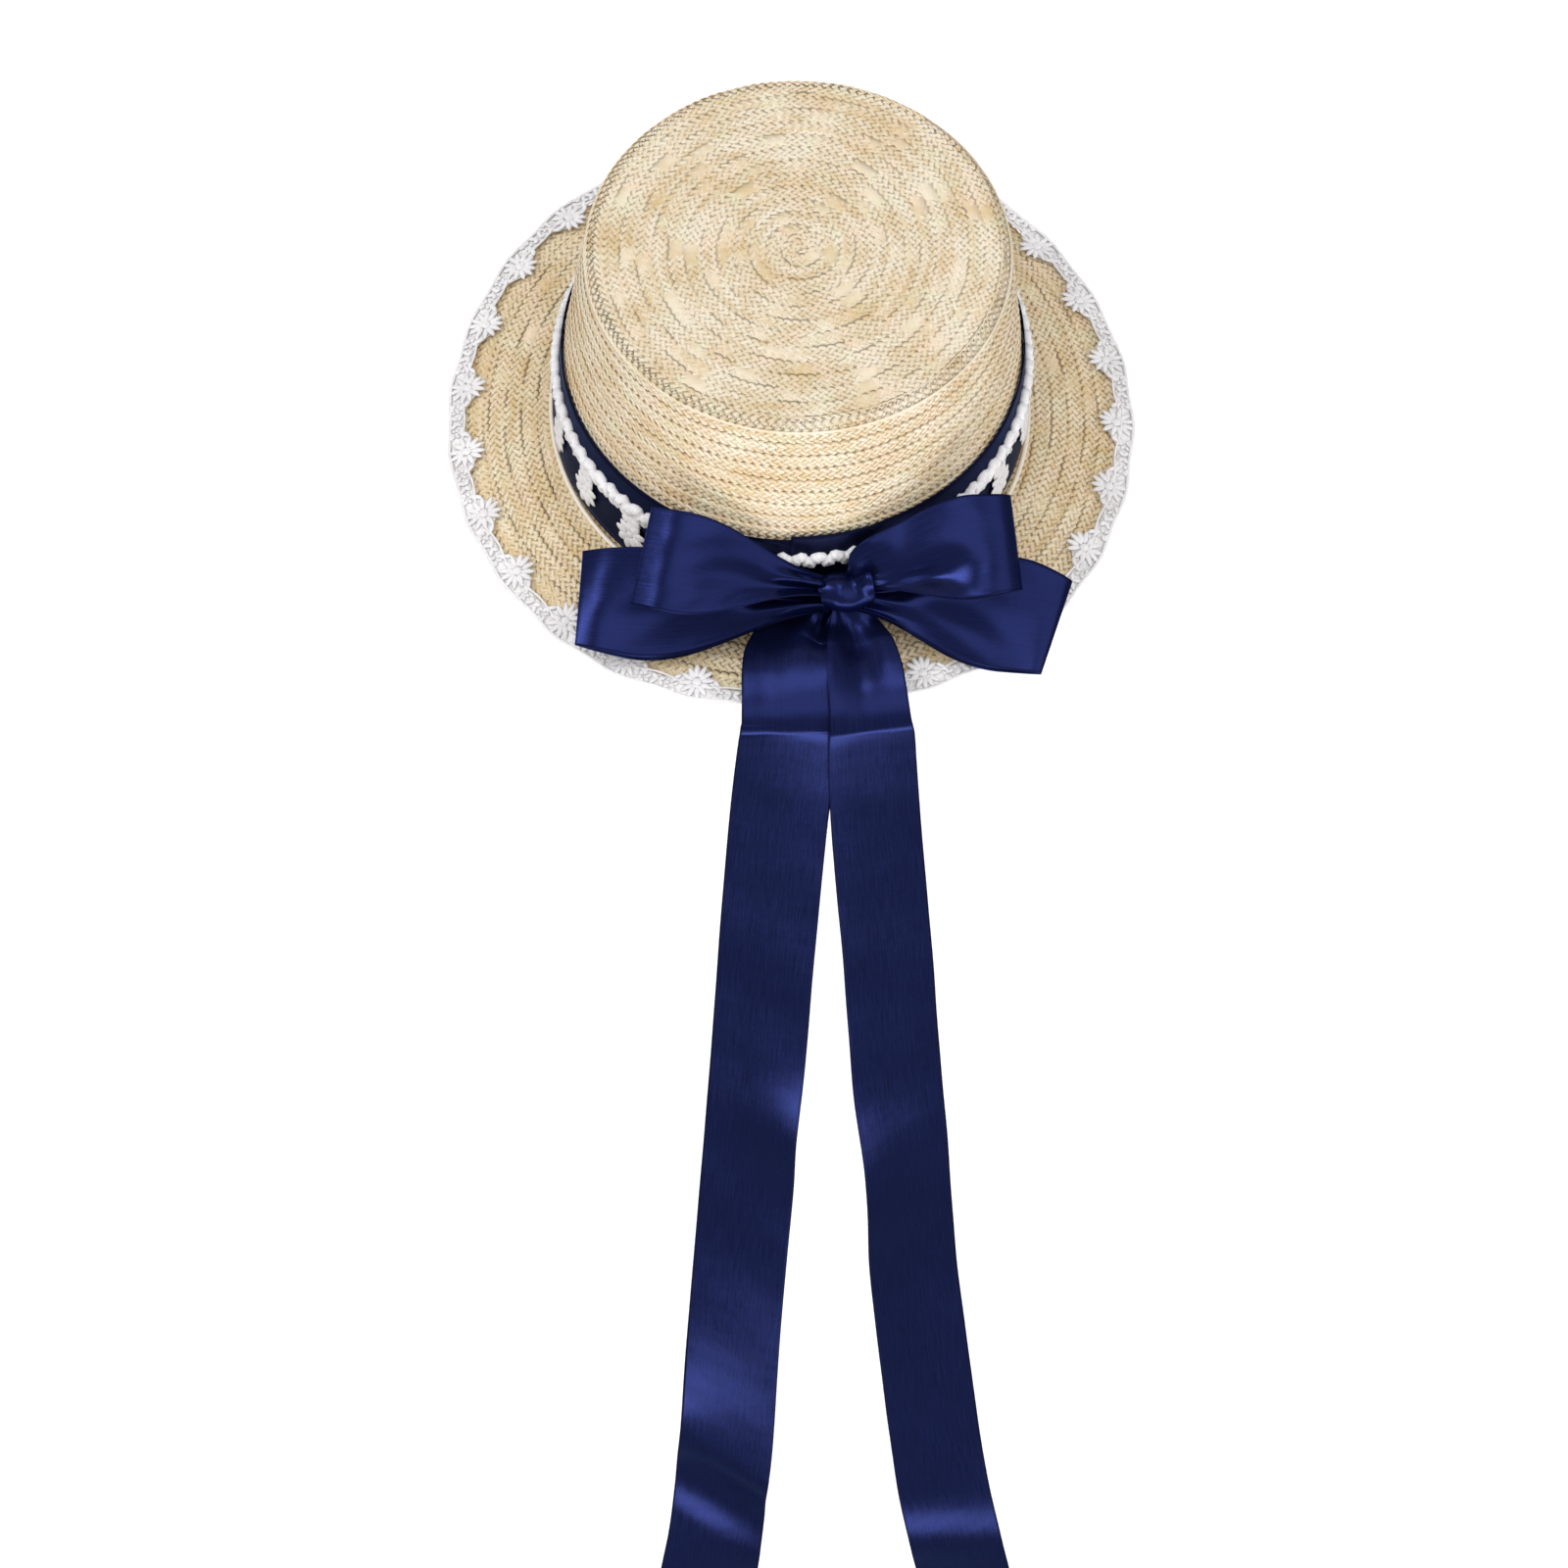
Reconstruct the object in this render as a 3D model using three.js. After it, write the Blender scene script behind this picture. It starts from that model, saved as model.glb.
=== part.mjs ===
// A straw boater hat: sewn plait crown and brim, a satin band with lace, lace round the brim's edge,
// and a double bow whose two long tails hang over the front of the brim.
// Millimetres, +Z up. The origin is the middle of the head opening, level with the brim. The bow is at -Y.
import * as THREE from "three";

// Thicknesses and the clearance between neighbouring pieces.
const strawWall = 2.4;
const cloth = 1.0;
const gap = 0.3;

// The head opening, and the brim's outer edge. The brim's outline sits a little forward of the head.
const headHalfWidth = 88.8;
const headHalfLength = 95.6;
const brimHalfWidth = 127;
const brimHalfLength = 135;
const brimForward = 3.5;
const brimTop = strawWall / 2;

// The crown's outside, level by level, then a rounded shoulder and a slightly domed tip.
const crownLevels = [
  { height: brimTop + gap, halfWidth: 91.2, halfLength: 98.0 },
  { height: 42, halfWidth: 88.4, halfLength: 94.2 },
  { height: 75, halfWidth: 85.0, halfLength: 89.6 },
  { height: 95, halfWidth: 82.4, halfLength: 86.0 },
];
const crownLean = 0.032; // sideways lean for each millimetre of height
const shoulderRadius = 5;
const tipDome = 1.6;

// The brim's lift at its edge: a droop at the back and a few shallow waves.
const backDroop = 5;
const brimWaves = [
  { lobes: 2, height: 1.2, turn: 0 },
  { lobes: 3, height: 1.3, turn: 30 },
  { lobes: 5, height: 1.0, turn: 0 },
];

// The band and the two laces.
const ribbonWidth = 38;
const bandClimb = { height: 5.5, at: -40 }; // the band is wrapped askew: it sits highest at this angle
const bandFlowers = { count: 21, first: 204.5 };
const bandLace = { flowerFoot: 6, betweenFoot: 21, top: 29, topWave: 1 };
const brimFlowers = { count: 27, first: 180.5 };
const brimLace = { flowerReach: 8.5, betweenReach: 1.5, overhang: 6.5 };
const brimReach = brimHalfWidth - headHalfWidth;

// The bow. Its face leans back: X runs across it, bowUp along its height, bowOut towards the viewer.
const knotCentre = new THREE.Vector3(6.3, -107.3, 23.6);
const knotHalf = { across: 10, up: 8.5, out: 8 };
const bowUp = new THREE.Vector3(0, 0.8, 0.6);
const bowOut = new THREE.Vector3(0, -0.6, 0.8);
const loopRootWidth = 8;
const loopRootDepth = 1.7;

// Each loop runs from a seat on the knot, in shares of the knot's half sizes, to its end fold, whose two
// corners are given. puff is how far its front layer stands out, press how far its back layer does, hollow
// the dent along the front, and arch how far the whole loop bows towards the viewer half way along.
const loops = [
  {
    name: "loop_upper_left", seat: [-0.84, 0.48, 0.26],
    top: [-61.0, -80.3, 52.3], foot: [-72.2, -108.8, 29.7],
    puff: 8, press: 3.5, hollow: 0, arch: 5.5,
  },
  {
    name: "loop_upper_right", seat: [0.84, 0.48, 0.26],
    top: [75.3, -86.5, 48.5], foot: [76.5, -117.9, 29.6],
    puff: 8, press: 3.5, hollow: 4, arch: 2.5,
  },
  {
    name: "loop_lower_left", seat: [-0.84, -0.45, -0.3],
    top: [-87.7, -78.5, 25.1], foot: [-94.0, -110.7, 8.9],
    puff: 5, press: 3, hollow: 0, arch: 0,
  },
  {
    name: "loop_lower_right", seat: [0.84, -0.45, -0.3],
    top: [97.0, -108.3, 19.6], foot: [81.5, -139.8, 4.4],
    puff: 5, press: 3, hollow: 0, arch: 0,
  },
];

// Each tail's middle line from its seat on the knot, over the brim's front edge and down, with its width and
// its fold, which is how far its middle dips behind its edges. turn swings it about its own length, in degrees.
const tailLeft = {
  seat: [-0.3, -0.9, 0.15],
  rows: [
    { width: 7, fold: 0.8, turn: 0 },
    { x: -7.5, y: -121.5, z: 8.2, width: 25, fold: 1.6, turn: 0 },
    { x: -15.8, y: -132, z: 5.0, width: 33.5, fold: 0.8, turn: 0 },
    { x: -17, y: -144.5, z: 4.2, width: 36.5, fold: 0.4, turn: 4 },
    { x: -17.6, y: -151.2, z: -3, width: 37, fold: 0.4, turn: 8 },
    { x: -18.2, y: -152.8, z: -20, width: ribbonWidth, fold: 0.4, turn: 15 },
    { x: -24.6, y: -152.6, z: -140, width: ribbonWidth, fold: 0.4, turn: 18 },
    { x: -30.5, y: -152.4, z: -246, width: ribbonWidth, fold: 0.4, turn: 20 },
    { x: -36.3, y: -152.0, z: -357, width: ribbonWidth, fold: 0.4, turn: 18 },
    { x: -42.3, y: -153.0, z: -472, width: ribbonWidth, fold: 0.4, turn: 16 },
    { x: -46.2, y: -154.0, z: -545, width: ribbonWidth, fold: 0, turn: 8 },
    { x: -52.0, y: -152.6, z: -622, width: ribbonWidth, fold: 0, turn: 0 },
  ],
};
const tailRight = {
  seat: [0.32, -0.9, 0.25],
  rows: [
    { width: 7, fold: 1.2, turn: 0 },
    { x: 13.6, y: -121, z: 11.2, width: 22, fold: 4.0, turn: 0 },
    { x: 14.6, y: -134, z: 9.2, width: 28, fold: 5.5, turn: 0 },
    { x: 14.6, y: -146.5, z: 8.4, width: 30, fold: 5.0, turn: 0 },
    { x: 14.8, y: -154.6, z: -0.5, width: 31, fold: 4.5, turn: 0 },
    { x: 15.2, y: -156.4, z: -20, width: 32, fold: 4.0, turn: 0 },
    { x: 21.4, y: -155.8, z: -146, width: 36.5, fold: 2.0, turn: -14 },
    { x: 27.2, y: -154.8, z: -255, width: ribbonWidth, fold: 0.6, turn: -20 },
    { x: 33.6, y: -154.0, z: -368, width: ribbonWidth, fold: 0.4, turn: -20 },
    { x: 42.8, y: -154.0, z: -485, width: ribbonWidth, fold: 0.4, turn: -15 },
    { x: 49.0, y: -153.0, z: -550, width: ribbonWidth, fold: 0, turn: -8 },
    { x: 59.5, y: -152.0, z: -624, width: ribbonWidth, fold: 0, turn: 0 },
  ],
};

// How finely curved pieces are divided.
const crownFacets = 56;
const facetsPerFlower = 4;
const brimFacets = brimFlowers.count * facetsPerFlower;

const straw = new THREE.MeshStandardMaterial({ color: 0xdccaa4, roughness: 0.62, metalness: 0 });
const satin = new THREE.MeshStandardMaterial({ color: 0x1b2146, roughness: 0.38, metalness: 0 });
const lace = new THREE.MeshStandardMaterial({ color: 0xf2efee, roughness: 0.85, metalness: 0 });

const hat = new THREE.Group();

function addPiece(name, geometry, material) {
  const mesh = new THREE.Mesh(geometry, material);
  mesh.name = name;
  hat.add(mesh);
}

const mix = THREE.MathUtils.lerp;
const smooth = (share) => THREE.MathUtils.smoothstep(share, 0, 1);
const degrees = THREE.MathUtils.degToRad;

// A closed skin through rings of equal count. ends says what closes it: "joined" carries the last ring on
// to the first, "fan" fills each end ring from its middle, "strip" fills a flat strip's two ends.
function skin(rings, ends) {
  const count = rings[0].length;
  const corners = [];
  const addQuad = (a, b, c, d) => corners.push(a, b, c, a, c, d);
  const rows = ends === "joined" ? rings.length : rings.length - 1;
  for (let row = 0; row < rows; row++) {
    const here = rings[row];
    const next = rings[(row + 1) % rings.length];
    for (let i = 0; i < count; i++) {
      const j = (i + 1) % count;
      addQuad(here[i], here[j], next[j], next[i]);
    }
  }
  const first = rings[0];
  const last = rings[rings.length - 1];
  if (ends === "fan") {
    const firstMiddle = middleOf(first);
    const lastMiddle = middleOf(last);
    for (let i = 0; i < count; i++) {
      const j = (i + 1) % count;
      corners.push(first[j], first[i], firstMiddle, last[i], last[j], lastMiddle);
    }
  }
  if (ends === "strip") {
    for (let i = 0; i < count / 2 - 1; i++) {
      const across = count - 1 - i;
      addQuad(first[i + 1], first[i], first[across], first[across - 1]);
      addQuad(last[i], last[i + 1], last[across - 1], last[across]);
    }
  }
  return new THREE.BufferGeometry().setFromPoints(corners);
}

function middleOf(points) {
  const sum = points.reduce((total, point) => total.add(point), new THREE.Vector3());
  return sum.divideScalar(points.length);
}

function ringOf(facets, pointAt, start = 0) {
  return Array.from({ length: facets }, (_, i) => pointAt(start + (2 * Math.PI * i) / facets));
}

// The crown's outline at a height, by straight runs between the levels.
function crownOutline(height) {
  const upper = Math.max(1, crownLevels.findIndex((level) => level.height >= height));
  const below = crownLevels[upper - 1];
  const above = crownLevels[upper];
  const share = (height - below.height) / (above.height - below.height);
  return {
    halfWidth: mix(below.halfWidth, above.halfWidth, share),
    halfLength: mix(below.halfLength, above.halfLength, share),
  };
}

// A point beside the crown's wall at an angle and a height, a distance outside it.
function besideCrown(angle, height, outside) {
  const { halfWidth, halfLength } = crownOutline(height);
  return new THREE.Vector3(
    (halfWidth + outside) * Math.cos(angle) + crownLean * height,
    (halfLength + outside) * Math.sin(angle),
    height,
  );
}

// The rings of a crown surface that lies a depth inside the outer one, from its foot to its tip.
function crownRings(depth) {
  const sideHeights = crownLevels.map((level) => level.height);
  const shoulderFoot = crownLevels[crownLevels.length - 1];
  const radius = shoulderRadius - depth;
  const sideRing = (height) => ringOf(crownFacets, (angle) => besideCrown(angle, height, -depth));
  const rings = sideHeights.map(sideRing);
  const roundAngles = [30, 60, 90].map(degrees);
  const tipShares = [0.8, 0.55, 0.28];
  const above = (angle, inset, share, height) =>
    new THREE.Vector3(
      (shoulderFoot.halfWidth - depth - inset) * share * Math.cos(angle) + crownLean * height,
      (shoulderFoot.halfLength - depth - inset) * share * Math.sin(angle),
      height,
    );
  for (const turn of roundAngles) {
    const inset = radius * (1 - Math.cos(turn));
    const height = shoulderFoot.height + radius * Math.sin(turn);
    rings.push(ringOf(crownFacets, (angle) => above(angle, inset, 1, height)));
  }
  for (const share of tipShares) {
    const height = shoulderFoot.height + radius + tipDome * (1 - share * share);
    rings.push(ringOf(crownFacets, (angle) => above(angle, radius, share, height)));
  }
  return rings;
}

function crownGeometry() {
  const inside = crownRings(strawWall).reverse();
  return skin([...inside, ...crownRings(0)], "fan");
}

// The brim's middle surface. share is 0 at the head opening and 1 at the straw's edge.
function onBrim(angle, share, lift) {
  const wave = brimWaves.reduce(
    (sum, { lobes, height, turn }) => sum + height * Math.cos(lobes * (angle + Math.PI / 2) + degrees(turn)),
    0,
  );
  const frontWave = brimWaves.reduce((sum, { height, turn }) => sum + height * Math.cos(degrees(turn)), 0);
  const droop = (backDroop * (1 + Math.sin(angle))) / 2;
  const halfWidth = mix(headHalfWidth, brimHalfWidth, share);
  const halfLength = mix(headHalfLength, brimHalfLength, share);
  return new THREE.Vector3(
    halfWidth * Math.cos(angle),
    halfLength * Math.sin(angle) - brimForward * share,
    share * share * (wave - frontWave * smooth((1 - Math.sin(angle)) / 2) - droop) + lift,
  );
}

function brimGeometry() {
  const shares = [0, 0.35, 0.7, 1];
  const face = (lift) =>
    shares.map((share) =>
      ringOf(brimFacets, (angle) => onBrim(angle, share, lift), degrees(brimFlowers.first)),
    );
  return skin([...face(-brimTop), ...face(brimTop).reverse()], "joined");
}

// How far the band and its lace stand above their lowest place.
const climbAt = (angle) => (bandClimb.height * (1 + Math.cos(angle - degrees(bandClimb.at)))) / 2;

function bandGeometry() {
  const foot = brimTop + 2 * gap;
  const heights = [foot, foot + ribbonWidth / 2, foot + ribbonWidth];
  const ring = (height, outside) =>
    ringOf(crownFacets, (angle) => besideCrown(angle, height + climbAt(angle), outside));
  const face = (outside) => heights.map((height) => ring(height, outside));
  return skin([...face(gap).reverse(), ...face(gap + cloth)], "joined");
}

// How near an angle is to a flower's middle: 1 at the middle, 0 half way to the next.
const nearFlower = (angle, { count, first }) => (1 + Math.cos(count * (angle - degrees(first)))) / 2;

function bandLaceGeometry() {
  const { flowerFoot, betweenFoot, top, topWave } = bandLace;
  const facets = bandFlowers.count * facetsPerFlower;
  const footAt = (angle) => mix(betweenFoot, flowerFoot, nearFlower(angle, bandFlowers));
  const topAt = (angle) => top + topWave * nearFlower(angle, bandFlowers);
  const edge = (heightAt, outside) =>
    ringOf(
      facets,
      (angle) => besideCrown(angle, heightAt(angle) + climbAt(angle), outside),
      degrees(bandFlowers.first),
    );
  const inside = 2 * gap + cloth;
  return skin(
    [edge(topAt, inside), edge(footAt, inside), edge(footAt, inside + cloth), edge(topAt, inside + cloth)],
    "joined",
  );
}

function brimLaceGeometry() {
  const { flowerReach, betweenReach, overhang } = brimLace;
  const reachAt = (angle) => mix(betweenReach, flowerReach, nearFlower(angle, brimFlowers));
  const edge = (outsideAt, lift) =>
    ringOf(
      brimFacets,
      (angle) => onBrim(angle, 1 + outsideAt(angle) / brimReach, lift),
      degrees(brimFlowers.first),
    );
  const under = brimTop + 1.5 * gap;
  const inner = (angle) => -reachAt(angle);
  const outer = () => overhang;
  return skin(
    [edge(inner, under), edge(outer, under), edge(outer, under + cloth), edge(inner, under + cloth)],
    "joined",
  );
}

// A point of the knot's surface in shares of its half sizes, pushed out by a distance.
function onKnot([across, up, out], away) {
  const direction = new THREE.Vector3()
    .addScaledVector(new THREE.Vector3(1, 0, 0), across * knotHalf.across)
    .addScaledVector(bowUp, up * knotHalf.up)
    .addScaledVector(bowOut, out * knotHalf.out);
  return direction.clone().addScaledVector(direction.clone().normalize(), away).add(knotCentre);
}

function knotGeometry() {
  const frame = new THREE.Matrix4().makeBasis(new THREE.Vector3(1, 0, 0), bowUp, bowOut);
  frame.scale(new THREE.Vector3(knotHalf.across, knotHalf.up, knotHalf.out)).setPosition(knotCentre);
  return new THREE.SphereGeometry(1, 16, 10).applyMatrix4(frame);
}

// A strip of cloth as a closed solid: rows of points across it, thickened along each row's normal.
function clothStrip(rows) {
  const rings = rows.map((row, i) => {
    const ahead = rows[Math.min(i + 1, rows.length - 1)];
    const behind = rows[Math.max(i - 1, 0)];
    const along = middleOf(ahead).sub(middleOf(behind));
    const across = row[row.length - 1].clone().sub(row[0]);
    const half = across.cross(along).normalize().multiplyScalar(cloth / 2);
    const oneFace = row.map((point) => point.clone().add(half));
    const otherFace = row.map((point) => point.clone().sub(half)).reverse();
    return [...oneFace, ...otherFace];
  });
  return skin(rings, "strip");
}

// A loop: out from the knot along its front layer, round the end fold and back along its back layer.
function loopGeometry({ seat, top, foot, puff, press, hollow, arch }) {
  const steps = 20;
  const columns = 5;
  const root = onKnot(seat, 3 * gap);
  const endTop = new THREE.Vector3(...top);
  const endFoot = new THREE.Vector3(...foot);
  const end = endTop.clone().add(endFoot).divideScalar(2);
  const endAcross = endTop.clone().sub(endFoot);
  const away = root.clone().sub(knotCentre).normalize();
  const rootAcross = bowUp.clone().addScaledVector(away, -bowUp.dot(away)).setLength(loopRootWidth);
  const outward = end.clone().sub(root).cross(endAcross).normalize();
  outward.multiplyScalar(Math.sign(outward.dot(bowOut)));
  const rows = [];
  for (let step = 0; step <= steps; step++) {
    const round = (2 * Math.PI * step) / steps;
    const reach = Math.sin(round / 2);
    const side = Math.sin(round) > 0 ? puff : press;
    const between = side * Math.sin(round) * Math.sqrt(reach) + loopRootDepth * Math.cos(round / 2);
    const depth = between + arch * Math.sin(Math.PI * reach);
    const middle = root.clone().lerp(end, reach).addScaledVector(outward, depth);
    const across = rootAcross.clone().lerp(endAcross, smooth(Math.min(1, reach * 1.25)));
    const dent = step < steps / 2 ? hollow * Math.sin(round) * reach : 0;
    rows.push(
      Array.from({ length: columns }, (_, column) => {
        const share = column / (columns - 1) - 0.5;
        const point = middle.clone().addScaledVector(across, share);
        return point.addScaledVector(outward, -dent * (1 - 4 * share * share));
      }),
    );
  }
  return clothStrip(rows);
}

// A tail: its middle line is a smooth curve through the rows, and its fold stands forward of it.
function tailGeometry({ seat, rows }) {
  const steps = 36;
  const columns = 5;
  const root = onKnot(seat, 4 * gap);
  const points = [root, ...rows.slice(1).map(({ x, y, z }) => new THREE.Vector3(x, y, z))];
  const line = new THREE.CatmullRomCurve3(points, false, "centripetal");
  const lines = Array.from({ length: steps + 1 }, (_, step) => {
    // Steps crowd towards the knot, where the ribbon bends.
    const along = Math.pow(step / steps, 1.8) * (rows.length - 1);
    const low = Math.min(Math.floor(along), rows.length - 2);
    const share = smooth(along - low);
    const blend = (column) => mix(rows[low][column], rows[low + 1][column], share);
    const place = line.getPoint(along / (rows.length - 1));
    const heading = line.getTangent(along / (rows.length - 1));
    const level = new THREE.Vector3(1, 0, 0).addScaledVector(heading, -heading.x).normalize();
    const across = level.applyAxisAngle(heading, degrees(blend("turn")));
    const forward = across.clone().cross(heading).normalize();
    return Array.from({ length: columns }, (_, column) => {
      const shareAcross = column / (columns - 1) - 0.5;
      const crease = blend("fold") * Math.cos(2 * Math.PI * shareAcross);
      const sideways = shareAcross * blend("width");
      return place.clone().addScaledVector(across, sideways).addScaledVector(forward, crease);
    });
  });
  return clothStrip(lines);
}

addPiece("crown", crownGeometry(), straw);
addPiece("brim", brimGeometry(), straw);
addPiece("hat_band", bandGeometry(), satin);
addPiece("band_lace", bandLaceGeometry(), lace);
addPiece("brim_lace", brimLaceGeometry(), lace);
for (const loop of loops) {
  addPiece(loop.name, loopGeometry(loop), satin);
}
addPiece("bow_knot", knotGeometry(), satin);
addPiece("tail_left", tailGeometry(tailLeft), satin);
addPiece("tail_right", tailGeometry(tailRight), satin);

export default hat;
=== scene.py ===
import math

import bpy
import mathutils
import numpy as np
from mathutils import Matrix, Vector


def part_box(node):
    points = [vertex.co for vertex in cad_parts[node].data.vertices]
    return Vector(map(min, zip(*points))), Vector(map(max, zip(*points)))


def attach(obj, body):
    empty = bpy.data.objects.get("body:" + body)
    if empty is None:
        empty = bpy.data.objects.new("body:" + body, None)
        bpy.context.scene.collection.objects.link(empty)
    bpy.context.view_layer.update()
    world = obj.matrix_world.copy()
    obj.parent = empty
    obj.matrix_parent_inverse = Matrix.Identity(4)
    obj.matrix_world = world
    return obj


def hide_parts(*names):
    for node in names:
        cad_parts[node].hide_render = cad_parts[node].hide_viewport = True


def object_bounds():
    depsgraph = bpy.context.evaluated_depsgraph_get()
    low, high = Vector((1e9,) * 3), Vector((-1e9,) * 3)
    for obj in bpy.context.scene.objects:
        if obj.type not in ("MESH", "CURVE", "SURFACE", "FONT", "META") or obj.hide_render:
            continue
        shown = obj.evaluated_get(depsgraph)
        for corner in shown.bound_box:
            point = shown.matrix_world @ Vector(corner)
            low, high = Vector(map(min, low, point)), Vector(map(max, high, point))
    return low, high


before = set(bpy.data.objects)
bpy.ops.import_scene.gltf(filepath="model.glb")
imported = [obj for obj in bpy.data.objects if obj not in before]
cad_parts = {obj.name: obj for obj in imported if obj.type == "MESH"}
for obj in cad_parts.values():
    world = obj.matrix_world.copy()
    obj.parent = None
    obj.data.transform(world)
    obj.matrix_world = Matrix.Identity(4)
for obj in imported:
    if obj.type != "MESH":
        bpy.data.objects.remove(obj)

# A straw boater: plaited straw crown and brim, a satin band, daisy lace, and a bow with two long tails.
# Shapes are worked out in millimetres in the hat's own frame and stored in metres.

cadLow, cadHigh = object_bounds()
tau = 2 * math.pi
rng = np.random.default_rng(7)


def boxOf(node):  # middle and half sizes of a CAD node, in millimetres
    low, high = (np.array(corner) * 1000 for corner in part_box(node))
    return (low + high) / 2, (high - low) / 2


def unit(v):
    return v / (np.linalg.norm(v, axis=-1, keepdims=True) + 1e-12)


def smooth(x):  # 0 to 1 with flat ends
    x = np.clip(x, 0, 1)
    return x * x * (3 - 2 * x)


def mix(a, b, share):
    return a + (b - a) * share


# Stores points (n, 3) and faces in a mesh at the origin. values are extra numbers for each point, by name.
# A closed piece whose signed volume comes out negative has its faces turned round.
def addPiece(name, points, quads, triangles, uv, values, material):
    quads = quads.reshape(-1, 4)
    triangles = np.asarray(triangles, int).reshape(-1, 3)
    fans = np.concatenate([quads[:, [0, 1, 2]], quads[:, [0, 2, 3]], triangles])
    a, b, c = (points[fans[:, i]] for i in range(3))
    if np.einsum("ij,ij->", a, np.cross(b, c)) < 0:
        quads, triangles = quads[:, ::-1], triangles[:, ::-1]
    corners = np.concatenate([quads.ravel(), triangles.ravel()]).astype(np.int32)
    starts = np.concatenate([np.arange(len(quads)) * 4, len(quads) * 4 + np.arange(len(triangles)) * 3])
    mesh = bpy.data.meshes.new(name)
    mesh.vertices.add(len(points))
    mesh.vertices.foreach_set("co", (points * 0.001).astype(np.float32).ravel())
    mesh.loops.add(len(corners))
    mesh.loops.foreach_set("vertex_index", corners)
    mesh.polygons.add(len(starts))
    mesh.polygons.foreach_set("loop_start", starts.astype(np.int32))
    mesh.update(calc_edges=True)
    mesh.polygons.foreach_set("use_smooth", np.ones(len(starts), bool))
    layer = mesh.uv_layers.new(name="UVMap")
    layer.data.foreach_set("uv", uv[corners].astype(np.float32).ravel())
    for key, numbers in values.items():
        attribute = mesh.attributes.new(key, "FLOAT", "POINT")
        attribute.data.foreach_set("value", numbers.astype(np.float32).ravel())
    mesh.materials.append(material)
    piece = bpy.data.objects.new(name, mesh)
    bpy.context.scene.collection.objects.link(piece)
    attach(piece, "root")
    print(name, len(quads) * 2 + len(triangles), "triangles")
    return piece


# A profile (p, 2) carried along lines (k, n, 3): each ring lies across its line, its first number to the side
# and its second along the normal, scaled ring by ring by across and height (k, n).
def carry(lines, normals, profile, across, height, closed=False):
    ahead = np.roll(lines, -1, 1)
    behind = np.roll(lines, 1, 1)
    if not closed:
        ahead[:, -1] = lines[:, -1]
        behind[:, 0] = lines[:, 0]
    heading = unit(ahead - behind)
    side = unit(np.cross(heading, normals))
    up = np.cross(side, heading)
    sideways = side[:, :, None] * (profile[:, 0] * across[:, :, None])[..., None]
    outwards = up[:, :, None] * (profile[:, 1] * height[:, :, None])[..., None]
    rings = lines[:, :, None] + sideways + outwards
    count, steps, corners = rings.shape[:3]
    number = np.arange(count * steps * corners).reshape(count, steps, corners)
    here = number if closed else number[:, :-1]
    there = np.roll(number, -1, 1) if closed else number[:, 1:]
    quads = np.stack([here, np.roll(here, -1, 2), np.roll(there, -1, 2), there], -1)
    triangles = np.zeros((0, 3), int)
    if not closed:
        fan = np.arange(1, corners - 1)
        first, last = number[:, 0], number[:, -1]
        root = np.zeros_like(fan)
        triangles = np.concatenate([
            np.stack([first[:, root], first[:, fan + 1], first[:, fan]], -1).reshape(-1, 3),
            np.stack([last[:, root], last[:, fan], last[:, fan + 1]], -1).reshape(-1, 3)])
    return rings.reshape(-1, 3), quads.reshape(-1, 4), triangles


# UV of rows of points: centimetres along, and across, which is the same numbers for every row.
def uvOf(along, across):
    return np.stack(np.broadcast_arrays(along[..., None] / 10, across), -1).reshape(-1, 2)


# A sheet given as a grid of points (n, m, 3) becomes a closed cloth: its two faces lie half the thickness to
# each side along the sheet's normal, and quads close its four edges. Its UV is uvOf the middle line's length
# and of the share across.
def clothOf(sheet, thickness):
    rows, columns = sheet.shape[:2]
    along = np.gradient(sheet, axis=0)
    across = np.gradient(sheet, axis=1)
    normal = unit(np.cross(along, across))
    points = np.concatenate([sheet + normal * thickness / 2, sheet - normal * thickness / 2]).reshape(-1, 3)
    front = np.arange(rows * columns).reshape(rows, columns)
    back = front + rows * columns
    quads = [
        np.stack([front[:-1, :-1], front[1:, :-1], front[1:, 1:], front[:-1, 1:]], -1).reshape(-1, 4),
        np.stack([back[:-1, :-1], back[:-1, 1:], back[1:, 1:], back[1:, :-1]], -1).reshape(-1, 4)]
    edge = np.concatenate([front[:-1, 0], front[-1, :-1], front[:0:-1, -1], front[0, :0:-1]])
    onward = np.roll(edge, -1)
    quads.append(np.stack([onward, edge, edge + rows * columns, onward + rows * columns], -1))
    middle = sheet[:, columns // 2]
    length = np.concatenate([[0], np.cumsum(np.linalg.norm(np.diff(middle, axis=0), axis=1))])
    uv = uvOf(length, np.linspace(0, 1, columns))
    return points, np.concatenate(quads), np.concatenate([uv, uv])


# Several bodies of one piece, each (points, quads, triangles, uv, tone), as one.
def joined(parts):
    starts = np.cumsum([0] + [len(part[0]) for part in parts[:-1]])
    quads = [part[1].reshape(-1, 4) + start for part, start in zip(parts, starts)]
    triangles = [part[2].reshape(-1, 3) + start for part, start in zip(parts, starts)]
    points, uv, tone = (np.concatenate([part[i] for part in parts]) for i in (0, 3, 4))
    return points, np.concatenate(quads), np.concatenate(triangles), uv, tone


# A slow random wander about 0, the same each run: a sum of sines of a length, each with its own phase.
def wander(distance, length, seed):
    phases = np.random.default_rng(seed).uniform(0, tau, 4)
    waves = (1.0, 1.37, 2.11, 0.61)
    return sum(np.sin(tau * distance * wave / length + phase) for wave, phase in zip(waves, phases)) / 2.5


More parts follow.
